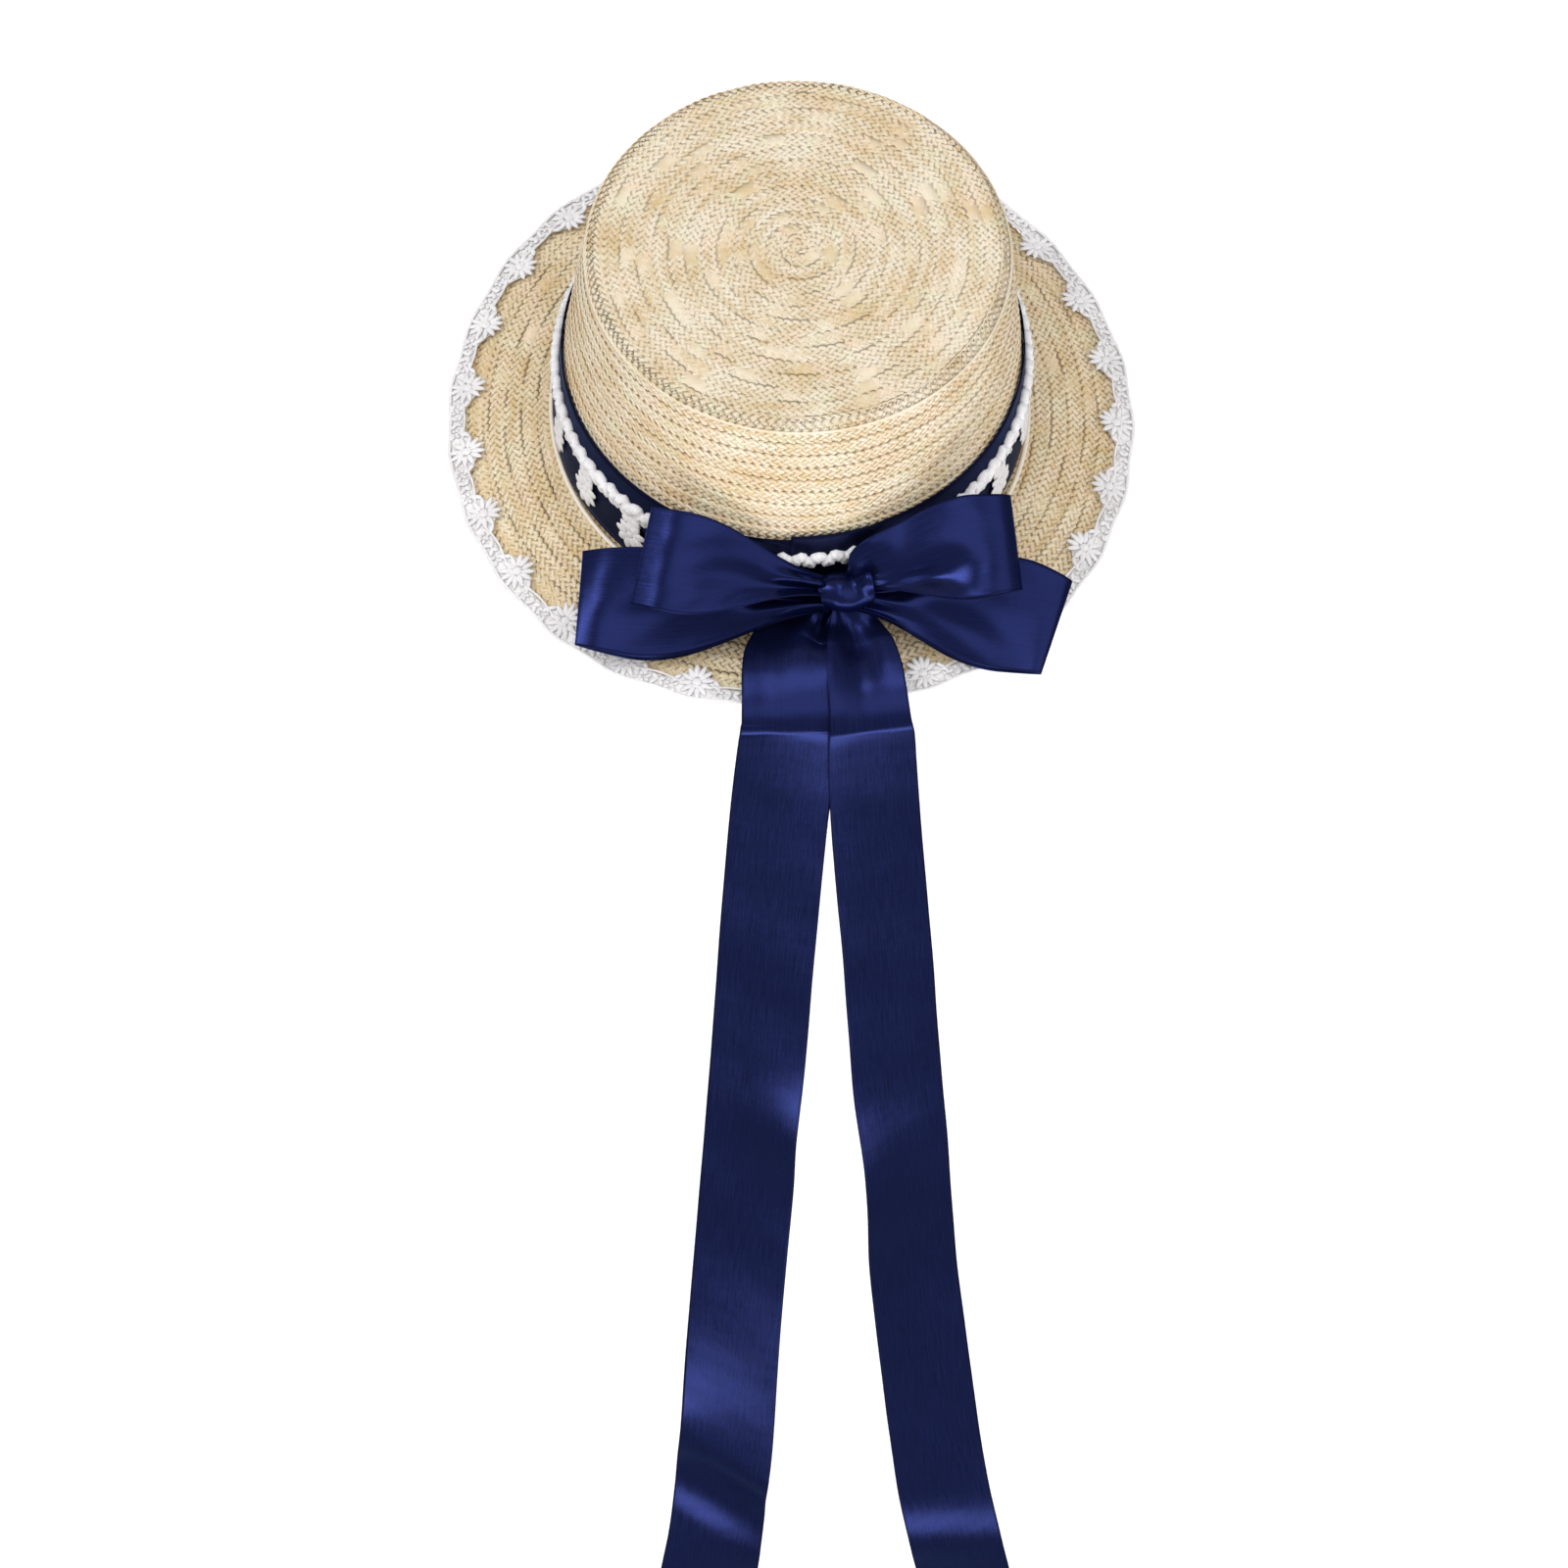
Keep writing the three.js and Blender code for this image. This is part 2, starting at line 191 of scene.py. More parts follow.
def newMaterial(name, **values):
    material = bpy.data.materials.new(name)
    material.use_nodes = True
    shader = material.node_tree.nodes["Principled BSDF"]
    for socket, value in values.items():
        shader.inputs[socket.replace("_", " ")].default_value = value
    return material, material.node_tree, shader


def newGroup(name, inputs):  # every group puts out a colour, a roughness and a height
    outputs = {"Color": ("Color", None), "Roughness": ("Float", None), "Height": ("Float", None)}
    group = bpy.data.node_groups.new(name, "ShaderNodeTree")
    for way, sockets in (("INPUT", inputs), ("OUTPUT", outputs)):
        for label, (kind, value) in sockets.items():
            socket = group.interface.new_socket(name=label, in_out=way, socket_type="NodeSocket" + kind)
            if value is not None:
                socket.default_value = value
    return group, group.nodes.new("NodeGroupInput"), group.nodes.new("NodeGroupOutput")


def noiseNode(tree, vector, scale, detail=2.0, roughness=0.5):
    noise = tree.nodes.new("ShaderNodeTexNoise")
    noise.inputs["Scale"].default_value = scale
    noise.inputs["Detail"].default_value = detail
    noise.inputs["Roughness"].default_value = roughness
    tree.links.new(vector, noise.inputs["Vector"])
    return noise.outputs["Fac"]


def mathNode(tree, operation, first, second):
    node = tree.nodes.new("ShaderNodeMath")
    node.operation = operation
    for socket, value in zip(node.inputs, (first, second)):
        if isinstance(value, (int, float)):
            socket.default_value = value
        else:
            tree.links.new(value, socket)
    return node.outputs["Value"]


def scaledVector(tree, source, scale):
    mapping = tree.nodes.new("ShaderNodeMapping")
    mapping.inputs["Scale"].default_value = scale
    tree.links.new(source, mapping.inputs["Vector"])
    return mapping.outputs["Vector"]


def stretchedNoise(tree, vector, scale, detail, roughness):
    return noiseNode(tree, scaledVector(tree, vector, scale), 1.0, detail, roughness)


def added(tree, first, *others):
    for other in others:
        first = mathNode(tree, "ADD", first, other)
    return first


def rangeNode(tree, value, low, high, toLow, toHigh):
    node = tree.nodes.new("ShaderNodeMapRange")
    for socket, number in zip(("From Min", "From Max", "To Min", "To Max"), (low, high, toLow, toHigh)):
        node.inputs[socket].default_value = number
    tree.links.new(value, node.inputs["Value"])
    return node.outputs["Result"]


def around(tree, noise, amount):  # most of a noise's values spread from -amount to amount
    return rangeNode(tree, noise, 0.3, 0.7, -amount, amount)


def blendColors(tree, factor, first, second):
    node = tree.nodes.new("ShaderNodeMix")
    node.data_type = "RGBA"
    tree.links.new(factor, node.inputs["Factor"])
    for socket, value in ((node.inputs["A"], first), (node.inputs["B"], second)):
        if isinstance(value, tuple):
            socket.default_value = value
        else:
            tree.links.new(value, socket)
    return node.outputs["Result"]


def outputsOf(tree, group, values):  # a group placed in a material with its own values
    node = tree.nodes.new("ShaderNodeGroup")
    node.node_tree = group
    for socket, value in values.items():
        node.inputs[socket].default_value = value
    return list(node.outputs)


# Colour, roughness and relief of a surface. The relief is a height with a strength and a depth in metres.
def dress(tree, shader, color, roughness, relief, strength, depth, sunken=False):
    bump = tree.nodes.new("ShaderNodeBump")
    bump.inputs["Strength"].default_value = strength
    bump.inputs["Distance"].default_value = depth
    bump.invert = sunken
    tree.links.new(relief, bump.inputs["Height"])
    tree.links.new(bump.outputs["Normal"], shader.inputs["Normal"])
    tree.links.new(color, shader.inputs["Base Color"])
    tree.links.new(roughness, shader.inputs["Roughness"])


# Straw: cream to gold by each straw's own tone, with streaks along the rows, cloudy patches of a warmer or
# greener straw and fine fibres. Over it lie pale chips, which are painted glints of glossy straw, and dark
# flecks, which are brown nicks and painted shade for the holes between the plait's beads.
def strawGrainGroup():
    group, given, made = newGroup("straw grain", {
        "Pale": ("Color", (0.86, 0.77, 0.60, 1)), "Gold": ("Color", (0.62, 0.44, 0.20, 1)),
        "Shade": ("Float", 0.5), "Patches": ("Float", 1.0), "Own": ("Float", 0.3),
    })
    coordinates = group.nodes.new("ShaderNodeTexCoord")

    def attribute(name):
        node = group.nodes.new("ShaderNodeAttribute")
        node.attribute_name = name
        return node.outputs["Fac"]

    place = group.nodes.new("ShaderNodeCombineXYZ")
    group.links.new(attribute("sewn"), place.inputs["X"])
    group.links.new(attribute("rowsOut"), place.inputs["Y"])
    uv, onHat = coordinates.outputs["UV"], coordinates.outputs["Object"]
    rows = stretchedNoise(group, place.outputs["Vector"], (0.35, 3.4, 1), 3, 0.55)
    fibres = stretchedNoise(group, uv, (0.6, 9, 1), 4, 0.65)
    nicksShadeAndGlints = stretchedNoise(group, uv, (2.4, 2.2, 1), 3, 0.6)
    patches = noiseNode(group, onHat, 48, 3, 0.55)
    hues = noiseNode(group, onHat, 90, 2, 0.6)
    smudges = noiseNode(group, onHat, 240, 3, 0.6)
    own = mathNode(group, "MULTIPLY", rangeNode(group, attribute("tone"), 0, 1, -1, 1), given.outputs["Own"])
    clouded = mathNode(group, "MULTIPLY", around(group, patches, 0.3), given.outputs["Patches"])
    golden = added(group, own, clouded, around(group, fibres, 0.09), around(group, rows, 0.45),
                   around(group, smudges, 0.12), given.outputs["Shade"])
    golden.node.use_clamp = True
    color = blendColors(group, golden, given.outputs["Pale"], given.outputs["Gold"])
    # Warm and green straw, dark flecks (brown nicks and painted shade) and pale chips (painted glints) are
    # laid over it. A tone under 0 is a bleached straw.
    for noise, low, high, most, tint in ((hues, 0.52, 0.72, 0.5, (0.84, 0.66, 0.50, 1)),
                                         (hues, 0.46, 0.28, 0.4, (0.74, 0.74, 0.52, 1)),
                                         (nicksShadeAndGlints, 0.72, 0.80, 0.6, (0.26, 0.16, 0.08, 1)),
                                         (nicksShadeAndGlints, 0.32, 0.24, 0.6, (0.95, 0.92, 0.84, 1)),
                                         (attribute("tone"), -0.1, -1, 0.9, (0.93, 0.88, 0.78, 1))):
        color = blendColors(group, rangeNode(group, noise, low, high, 0, most), color, tint)
    group.links.new(color, made.inputs["Color"])
    group.links.new(rangeNode(group, smudges, 0.3, 0.7, 0.36, 0.56), made.inputs["Roughness"])
    relief = added(group, fibres, mathNode(group, "MULTIPLY", nicksShadeAndGlints, 0.5))
    group.links.new(relief, made.inputs["Height"])
    return group


strawGrain = strawGrainGroup()


def strawMaterial(name, **values):
    material, tree, shader = newMaterial(name, Specular_IOR_Level=0.45)
    dress(tree, shader, *outputsOf(tree, strawGrain, values), strength=0.35, depth=0.00025)
    return material


# The side straw is a paler copy of the tip straw: painted light for the crown's wall, which gets less light
# than the tip.
tipStraw = strawMaterial("tip straw", Pale=(0.78, 0.69, 0.54, 1), Gold=(0.62, 0.46, 0.25, 1),
                         Shade=0.42, Patches=1.3, Own=0.16)
sideStrawPaintedLight = strawMaterial("side straw painted light", Pale=(0.83, 0.73, 0.575, 1), Gold=(0.68, 0.50, 0.27, 1),
                          Shade=0.42, Patches=0.9, Own=0.22)
brimStraw = strawMaterial("brim straw", Pale=(0.82, 0.70, 0.50, 1), Gold=(0.64, 0.46, 0.23, 1),
                          Shade=0.47, Patches=1.0, Own=0.16)

# The plait: five flattened straws crossing over and under one another.
plait = dict(
    ends=5,  # straws in the plait
    lay=17.4,  # length of plait in which a straw crosses over and back again
    swing=3.05,  # how far a straw's middle goes to each side
    rounding=0.96,  # of its turns at the plait's edges: 1 would be sharp
    rows=6.3,  # distance between the sewn rows
    sway=0.28,  # how far a row wanders sideways,
    swayLength=60,
    heave=0.10,  # and up and down
    heaveLength=35,
    uneven=0.10,  # how much a straw's width varies, as a share
    unevenLength=23,
    strawLength=170,  # then a new straw is laid in
    patternApart=97,  # each straw has its own place in the grain's pattern,
    lengthsApart=61,  # its own places where a new straw is laid in,
    widthsApart=41,  # and its own widths
    step=1.05,  # distance between rings along a straw
    fillStep=3.5,
    fill=0.16,  # thickness of the straw that closes the row from behind,
    fillPast=0.3,  # how far it reaches past the row's edges,
    fillTurn=0.15,  # and how far its turned edge goes in below the row before
    # a golder, darker tone than most straws: painted shade for the gaps between the plait's straws
    fillShadeTone=0.7,
)
# How hard it is pressed: a flattened straw's width, how far its back stands over its edges, how far it rises
# and dips as it passes over and under, and how far a row's inner edge stands over the row before it.
sidePlait = dict(width=2.25, back=0.34, weave=0.32, tilt=0.36)
brimPlait = dict(width=2.75, back=0.17, weave=0.09, tilt=0.07)
tipPlait = dict(width=2.85, back=0.12, weave=0.055, tilt=0.035)

crown = dict(
    wall=2.4,
    lean=0.032,  # sideways for each millimetre of height
    shoulder=5,
    dome=1.6,
    # Outside of the wall: height, half width and half length.
    levels=np.array([(1.5, 91.2, 98.0), (42, 88.4, 94.2), (75, 85.0, 89.6), (95, 82.4, 86.0)]),
    firstRow=1.3,  # where the spiral starts, from the tip's middle
    patch=dict(half=3.4, width=6.8, thickness=0.3, lift=-0.15, tone=0.5),  # under the spiral's start
    edge=84.5,  # where the tip bends down, and the single straw that is sewn on there
    # Its bleached tone is partly a painted highlight along the tip's edge.
    edgeStraw=dict(lift=0.4, width=1.1, height=0.9, tone=-0.35),
    foot=0.2,  # the height down to which the wall goes, where it is sewn onto the brim
    lastRow=4.1,  # how far the last row's middle lies from the foot
    splits=(84.0, 147.0),  # distances from the tip's middle where one piece of plait ends and the next begins
    steps=(1.0, 1.07, 1.6),  # of the three pieces, in plait steps
)

# The brim. Its outline sits a little forward of the head, its edge waves a little and droops at the back.
brimBox = boxOf("brim")
brim = dict(
    headWidth=88.8,
    headLength=95.6,
    width=brimBox[1][0],
    length=brimBox[1][1],
    forward=-brimBox[0][1],
    backDroop=5,
    waves=((2, 1.2, 0), (3, 1.3, 30), (5, 1.0, 0)),  # lobes, height and turn in degrees
    firstRow=3.7,
    lastRow=4.0,
    foot=3.5,  # from the head opening to the straw that is sewn round the crown's foot
    footStraw=dict(lift=0.8, width=1.8, height=1.2, tone=-1.6),
)
brim["reach"] = brim["width"] - brim["headWidth"]


# The crown's middle surface along one line from the tip's middle to the foot: distance along the straw, half
# width, half length and height. It is a flat dome, then a quarter round, then the wall's levels.
def crownProfile():
    inside = crown["wall"] / 2
    radius = crown["shoulder"] - inside
    _, topWidth, topLength = crown["levels"][-1] - (0, inside, inside)
    topHeight = crown["levels"][-1][0]
    share = np.linspace(0, 1, 80)[:-1]
    turn = np.linspace(math.pi / 2, 0, 20)[:-1]
    down = np.linspace(topHeight, crown["foot"], 120)
    tip = [(topWidth - radius) * share, (topLength - radius) * share,
           topHeight + radius + crown["dome"] * (1 - share ** 2)]
    bend = [topWidth - radius + radius * np.cos(turn), topLength - radius + radius * np.cos(turn),
            topHeight + radius * np.sin(turn)]
    wall = [np.interp(down, crown["levels"][:, 0], crown["levels"][:, column]) - inside for column in (1, 2)]
    profile = np.concatenate([np.array(tip), np.array(bend), np.array([*wall, down])], axis=1)
    steps = np.diff(profile, axis=1)
    lengths = np.hypot((steps[0] + steps[1]) / 2, steps[2])
    return np.concatenate([[0], np.cumsum(lengths)]), profile


crownAlong, crownShape = crownProfile()
crownEnd = crownAlong[-1]


def onCrown(angle, along):  # past the tip's middle a negative distance comes out on the other side
    reach = np.abs(along)
    halfWidth, halfLength, height = (np.interp(reach, crownAlong, row) for row in crownShape)
    side = np.sign(along)
    return np.stack([side * halfWidth * np.cos(angle) + crown["lean"] * height,
                     side * halfLength * np.sin(angle), height], -1)


def onBrim(angle, across):  # across is the distance from the head opening
    share = across / brim["reach"]
    wave = sum(height * np.cos(lobes * (angle + math.pi / 2) + math.radians(turn))
               for lobes, height, turn in brim["waves"])
    frontWave = sum(height * math.cos(math.radians(turn)) for _, height, turn in brim["waves"])
    droop = brim["backDroop"] * (1 + np.sin(angle)) / 2
    lift = wave - frontWave * smooth((1 - np.sin(angle)) / 2) - droop
    return np.stack([mix(brim["headWidth"], brim["width"], share) * np.cos(angle),
                     mix(brim["headLength"], brim["length"], share) * np.sin(angle) - brim["forward"] * share,
                     share * share * lift], -1)


# A point a distance outside a surface, and the surface's normal there: the cross product of two small steps.
def lifted(surface, angle, across, lift):
    here = surface(angle, across)
    turned = surface(angle + 1e-3, across) - here
    outward = surface(angle, across + 0.02) - here
    normal = unit(np.cross(outward, turned)) * np.where(across < 0, -1, 1)[..., None]
    return here + normal * np.asarray(lift)[..., None], normal


# A spiral over a surface: alongAt gives the row's distance at each angle. The table holds angle and length.
def spiralOf(surface, alongAt, turns):
    angle = np.linspace(0, turns * tau, int(turns * 360))
    line = surface(angle, alongAt(angle))
    length = np.concatenate([[0], np.cumsum(np.linalg.norm(np.diff(line, axis=0), axis=1))])
    return dict(surface=surface, alongAt=alongAt, angle=angle, length=length)


# The straws of a stretch of plait. Straw k's middle swings across the row as a rounded triangle wave of the
# distance, an equal share of the lay behind the last straw's, and rises and dips as a sine that goes through
# (ends - 1) waves a lay, which takes it over and under every straw that it meets.
def plaitedStraws(spiral, start, end, step, pressed, seed):
    lay, swing, ends = plait["lay"], plait["swing"], plait["ends"]
    slope = math.cos(math.atan(4 * swing / lay))
    distance = np.linspace(start, end, int((end - start) / (step * slope)))[None]
    straw = np.arange(ends)[:, None]
    phase = distance / lay + straw / ends
    swings = swing * np.arcsin(plait["rounding"] * np.cos(tau * phase)) / math.asin(plait["rounding"])
    angle = np.interp(distance, spiral["length"], spiral["angle"])
    rowTilt = -pressed["tilt"] * swings / swing
    across = spiral["alongAt"](angle) + swings + plait["sway"] * wander(distance, plait["swayLength"], seed)
    weave = pressed["weave"] * np.sin(tau * (ends - 1) * phase)
    lift = rowTilt + weave + plait["heave"] * wander(distance, plait["heaveLength"], seed + 1)
    lines, normals = lifted(spiral["surface"], angle + np.zeros_like(phase), across, lift)
    unlike = distance + plait["widthsApart"] * straw
    width = pressed["width"] * (1 + plait["uneven"] * wander(unlike, plait["unevenLength"], seed + 2))
    flattened = np.array([(-0.5, -0.3), (0, 0.7), (0.5, -0.3)])
    body = carry(lines, normals, flattened, width, np.full_like(width, pressed["back"]))
    along = distance + straw * plait["lengthsApart"] + 0 * phase
    pieceOfStraw = np.floor(along / plait["strawLength"]).astype(int)
    tones = np.random.default_rng(seed).random((ends, pieceOfStraw.max() + 1))
    tone = np.repeat(tones[straw, pieceOfStraw], len(flattened))
    uv = uvOf(distance / slope + plait["patternApart"] * straw, [0, 0.5, 1])
    place = np.stack([distance + 0 * phase, across], -1).repeat(len(flattened), 1).reshape(-1, 2)
    return (*body, uv, tone), place


# One thin straw closes the row from behind: it lies straight from the row's inner edge to its outer one, and
# turns down at the inner edge to the row before. It fills the gaps between the plait's straws, and its darker
# tone is painted shade for those gaps.
def gapShadeStraw(spiral, start, end, pressed, seed):
    swing, tilt, half, past = plait["swing"], pressed["tilt"], plait["fill"] / 2, plait["fillPast"]
    distance = np.linspace(start, end, int((end - start) / plait["fillStep"]))[None]
    angle = np.interp(distance, spiral["length"], spiral["angle"])
    row = spiral["alongAt"](angle) + plait["sway"] * wander(distance, plait["swayLength"], seed)
    high, _ = lifted(spiral["surface"], angle, row - swing, tilt - half + 0 * row)
    low, _ = lifted(spiral["surface"], angle, row + swing, -tilt - half + 0 * row)
    lines = (high + low) / 2
    leaning = unit(np.cross(low - high, np.gradient(lines, axis=1)))
    turned = -2 * tilt - plait["fillTurn"]
    hook = np.array([(swing + past, half), (-swing, half), (-swing - past, turned), (-swing, turned),
                     (-swing + past, -half), (swing + past, -half)])
    body = carry(lines, leaning, hook, np.ones_like(row), np.ones_like(row))
    uv = uvOf(distance, np.linspace(0, 1, len(hook)))
    place = np.stack([distance, row], -1).repeat(len(hook), 1).reshape(-1, 2)
    return (*body, uv, np.full(len(uv), plait["fillShadeTone"])), place


def plainStraw(line, normal, width, height, tone, closed):  # a straw on its own, rounded
    rounded = np.array([(-0.5, 0), (-0.3, 0.45), (0.3, 0.45), (0.5, 0), (0.3, -0.4), (-0.3, -0.4)])
    size = np.ones(line.shape[:2])
    body = carry(line, normal, rounded, width * size, height * size, closed)
    length = np.arange(line.shape[1]) * np.linalg.norm(line[0, 1] - line[0, 0])
    uv = uvOf(length, np.linspace(0, 1, len(rounded)))
    place = np.stack([length, 0 * length], -1).repeat(len(rounded), 0)
    return (*body, uv, np.full(len(uv), tone)), place


# Plait sewn along a stretch of a spiral, with single straws beside it. Every point keeps its straw's tone and
# its place on the plait: the length sewn so far and the distance out, in centimetres.
def plaitPiece(name, spiral, start, end, step, pressed, material, seed, extra=()):
    straws = [plaitedStraws(spiral, start, end, step, pressed, seed),
              gapShadeStraw(spiral, start, end, pressed, seed), *(plainStraw(*straw) for straw in extra)]
    points, quads, triangles, uv, tone = joined([body for body, _ in straws])
    sewn, out = np.concatenate([place for _, place in straws]).T / 10
    values = {"tone": tone, "sewn": sewn, "rowsOut": out}
    return addPiece(name, points, quads, triangles, uv, values, material)


# A single straw laid round a surface at a distance across: a ring of points and normals.
def ringStraw(surface, along, lift, width, height, tone):
    angle = np.linspace(0, tau, 361)[None, :-1]
    line, normal = lifted(surface, angle, along + 0 * angle, lift + 0 * angle)
    return line, normal, width, height, tone, True


def lengthAt(spiral, along):  # length of plait sewn when the spiral has come that far out
    return float(np.interp(along, spiral["alongAt"](spiral["angle"]), spiral["length"]))


def buildCrown():
    last = crownEnd - crown["lastRow"]
    rows = (last - crown["firstRow"]) / plait["rows"]

    def alongAt(angle):
        return np.minimum(crown["firstRow"] + plait["rows"] * angle / tau, last)

    spiral = spiralOf(onCrown, alongAt, rows + 1)
    shoulder, underBand = (lengthAt(spiral, along) for along in crown["splits"])
    end = spiral["length"][-1]
    # A flat patch lies under the spiral's start, and a single pale straw is sewn on where the tip bends down;
    # its paleness is partly a painted highlight along that edge.
    patch = crown["patch"]
    across = np.linspace(-patch["half"], patch["half"], 5)[None]
    line, normal = lifted(onCrown, 0 * across, np.abs(across), patch["lift"] + 0 * across)
    other = line * (-1, 1, 1) + 2 * crown["lean"] * line[..., 2:] * (1, 0, 0)
    line = np.where(across[..., None] < 0, other, line)
    extra = [(line, normal, patch["width"], patch["thickness"], patch["tone"], False),
             ringStraw(onCrown, crown["edge"], **crown["edgeStraw"])]
    tipStep, sideStep, footStep = (share * plait["step"] for share in crown["steps"])
    tip = plaitPiece("crown_tip", spiral, 0, shoulder, tipStep, tipPlait, tipStraw, 11, extra)
    plaitPiece("crown_side", spiral, shoulder, underBand, sideStep, sidePlait, sideStrawPaintedLight, 12)
    plaitPiece("crown_foot", spiral, underBand, end, footStep, sidePlait, sideStrawPaintedLight, 13)
    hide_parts("crown")
    print("crown: plait", round(end / 1000, 2), "m")


def buildBrim():
    last = brim["reach"] - brim["lastRow"]
    rows = (last - brim["firstRow"]) / plait["rows"]

    def alongAt(angle):
        return np.clip(brim["firstRow"] + plait["rows"] * (angle / tau - 1), brim["firstRow"], last)

    spiral = spiralOf(onBrim, alongAt, rows + 2)
    end = spiral["length"][-1]
    # A pale straw is sewn round the crown's foot.
    extra = [ringStraw(onBrim, brim["foot"], **brim["footStraw"])]
    step = plait["step"]
    sewn = plaitPiece("brim_plait", spiral, 0, end, step, brimPlait, brimStraw, 21, extra)
    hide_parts("brim")
    print("brim: plait", round(end / 1000, 2), "m")


# Satin: a dyed ribbon with fine warp streaks along it, weft ribs across it, soft ripples and a firm selvedge.
def satinWeaveGroup():
    group, given, made = newGroup("satin weave", {
        "Dye": ("Color", (0.014, 0.021, 0.09, 1)), "Gloss": ("Float", 0.36),
    })
    coordinates = group.nodes.new("ShaderNodeTexCoord")
    uv = coordinates.outputs["UV"]
    warp = stretchedNoise(group, uv, (0.5, 60, 1), 3, 0.6)
    ripples = stretchedNoise(group, uv, (0.55, 1.6, 1), 2, 0.5)
    cloud = noiseNode(group, coordinates.outputs["Object"], 18, 2, 0.5)
    parts = group.nodes.new("ShaderNodeSeparateXYZ")
    group.links.new(uv, parts.inputs["Vector"])
    ribsPerCentimetre = 28
    ribs = mathNode(group, "MULTIPLY", parts.outputs["X"], tau * ribsPerCentimetre)
    weft = mathNode(group, "SINE", ribs, 0)
    fromMiddle = mathNode(group, "ABSOLUTE", mathNode(group, "SUBTRACT", parts.outputs["Y"], 0.5), 0)
    selvedge = rangeNode(group, fromMiddle, 0.470, 0.485, 0, 1)
    lighter = added(group, around(group, warp, 0.12), around(group, cloud, 0.10), 1,
                    mathNode(group, "MULTIPLY", selvedge, -0.3))
    color = group.nodes.new("ShaderNodeVectorMath")
    color.operation = "SCALE"
    group.links.new(given.outputs["Dye"], color.inputs["Vector"])
    group.links.new(lighter, color.inputs["Scale"])
    rough = added(group, given.outputs["Gloss"], around(group, warp, 0.04),
                  mathNode(group, "MULTIPLY", selvedge, 0.12))
    relief = added(group, *(mathNode(group, "MULTIPLY", part, share) for part, share in (
        (weft, 0.004), (warp, 0.03), (ripples, 0.4), (selvedge, 0.12))))
    for value, socket in ((color.outputs["Vector"], "Color"), (rough, "Roughness"), (relief, "Height")):
        group.links.new(value, made.inputs[socket])
    return group


satinWeave = satinWeaveGroup()


def satinMaterial(name, dye, gloss, shine):
    # A partly metallic surface keeps the dye's own colour in the highlights, as filament satin does.
    material, tree, shader = newMaterial(name, Metallic=shine, Specular_IOR_Level=0.15,
                                         Specular_Tint=(0.5, 0.6, 1.0, 1))
    dress(tree, shader, *outputsOf(tree, satinWeave, dict(Dye=dye, Gloss=gloss)), strength=0.6, depth=0.0011)
    return material


bandSatin = satinMaterial("band satin", (0.0065, 0.008, 0.030, 1), 0.45, 0.7)
bowSatin = satinMaterial("bow satin", (0.0105, 0.0152, 0.071, 1), 0.27, 0.78)

ribbon = dict(
    width=38,
    thickness=0.4,
)


# A length of satin ribbon from a grid of points (along, across).
def ribbonPiece(name, sheet, node, material):
    points, quads, uv = clothOf(sheet, ribbon["thickness"])
    piece = addPiece(name, points, quads, np.zeros((0, 3), int), uv, {}, material)
    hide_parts(node)


band = dict(
    foot=1.8,  # over the head opening
    outside=0.6,  # of its first layer, from the crown
    end=-97,  # where the end lies over the start, in degrees
    overlap=20,
    layer=0.6,
    climb=5.5,  # the band is wrapped askew: it stands this much higher at the angle climbAt
    climbAt=-40,
    startDrop=2.4,  # how far the start lies under the end,
    startTurns=60,  # and over how many degrees it comes up
    stepTurns=4,  # degrees in which the end steps out over the start
    slack=dict(depth=0.25, length=55, drift=40),  # how it stands off the crown here and there
)


def besideCrown(angle, height, outside):  # a point a distance outside the crown's wall
    levels = crown["levels"]
    halfWidth, halfLength = (np.interp(height, levels[:, 0], levels[:, column]) for column in (1, 2))
    return np.stack([(halfWidth + outside) * np.cos(angle) + crown["lean"] * height,
                     (halfLength + outside) * np.sin(angle), height + 0 * angle], -1)


def bandClimb(angle):
    return band["climb"] * (1 + np.cos(angle - math.radians(band["climbAt"]))) / 2


# The band goes once round and a little over itself: its outer end lies one layer out and a little higher.
def buildBand():
    turn = np.linspace(360 + band["overlap"], 0, 300)[:, None]
    share = np.linspace(0, 1, 17)
    angle = np.radians(band["end"] + turn)
    over = smooth((band["overlap"] + band["stepTurns"] - turn) / band["stepTurns"])
    drop = band["startDrop"] * smooth((turn - 360 + band["startTurns"]) / band["startTurns"])
    height = band["foot"] + ribbon["width"] * share + bandClimb(angle) - drop
    slack = band["slack"]
    loose = slack["depth"] * wander(turn + slack["drift"] * share, slack["length"], 31)
    outside = band["outside"] + band["layer"] * over + loose * np.sin(math.pi * share)
    sheet = besideCrown(angle, height, outside)
    ribbonPiece("band_ribbon", sheet, "hat_band", bandSatin)


# Lace: white embroidery thread, stitched across each lobe, a little uneven.
def laceThreadMaterial():
    material, tree, shader = newMaterial("lace thread", Sheen_Weight=0.25, Sheen_Roughness=0.5,
                                         Specular_IOR_Level=0.25)
    coordinates = tree.nodes.new("ShaderNodeTexCoord")
    stitches = stretchedNoise(tree, coordinates.outputs["UV"], (26, 2.5, 1), 2, 0.5)
    cloud = noiseNode(tree, coordinates.outputs["Object"], 90, 2, 0.5)
    shade = added(tree, mathNode(tree, "MULTIPLY", stitches, 0.7), mathNode(tree, "MULTIPLY", cloud, 0.6))
    light = rangeNode(tree, shade, 0.45, 0.8, 0, 1)
    color = blendColors(tree, light, (0.72, 0.70, 0.71, 1), (0.88, 0.87, 0.88, 1))
    roughness = rangeNode(tree, stitches, 0.3, 0.7, 0.75, 0.95)
    dress(tree, shader, color, roughness, stitches, strength=0.5, depth=0.0003)
    return material


laceThread = laceThreadMaterial()
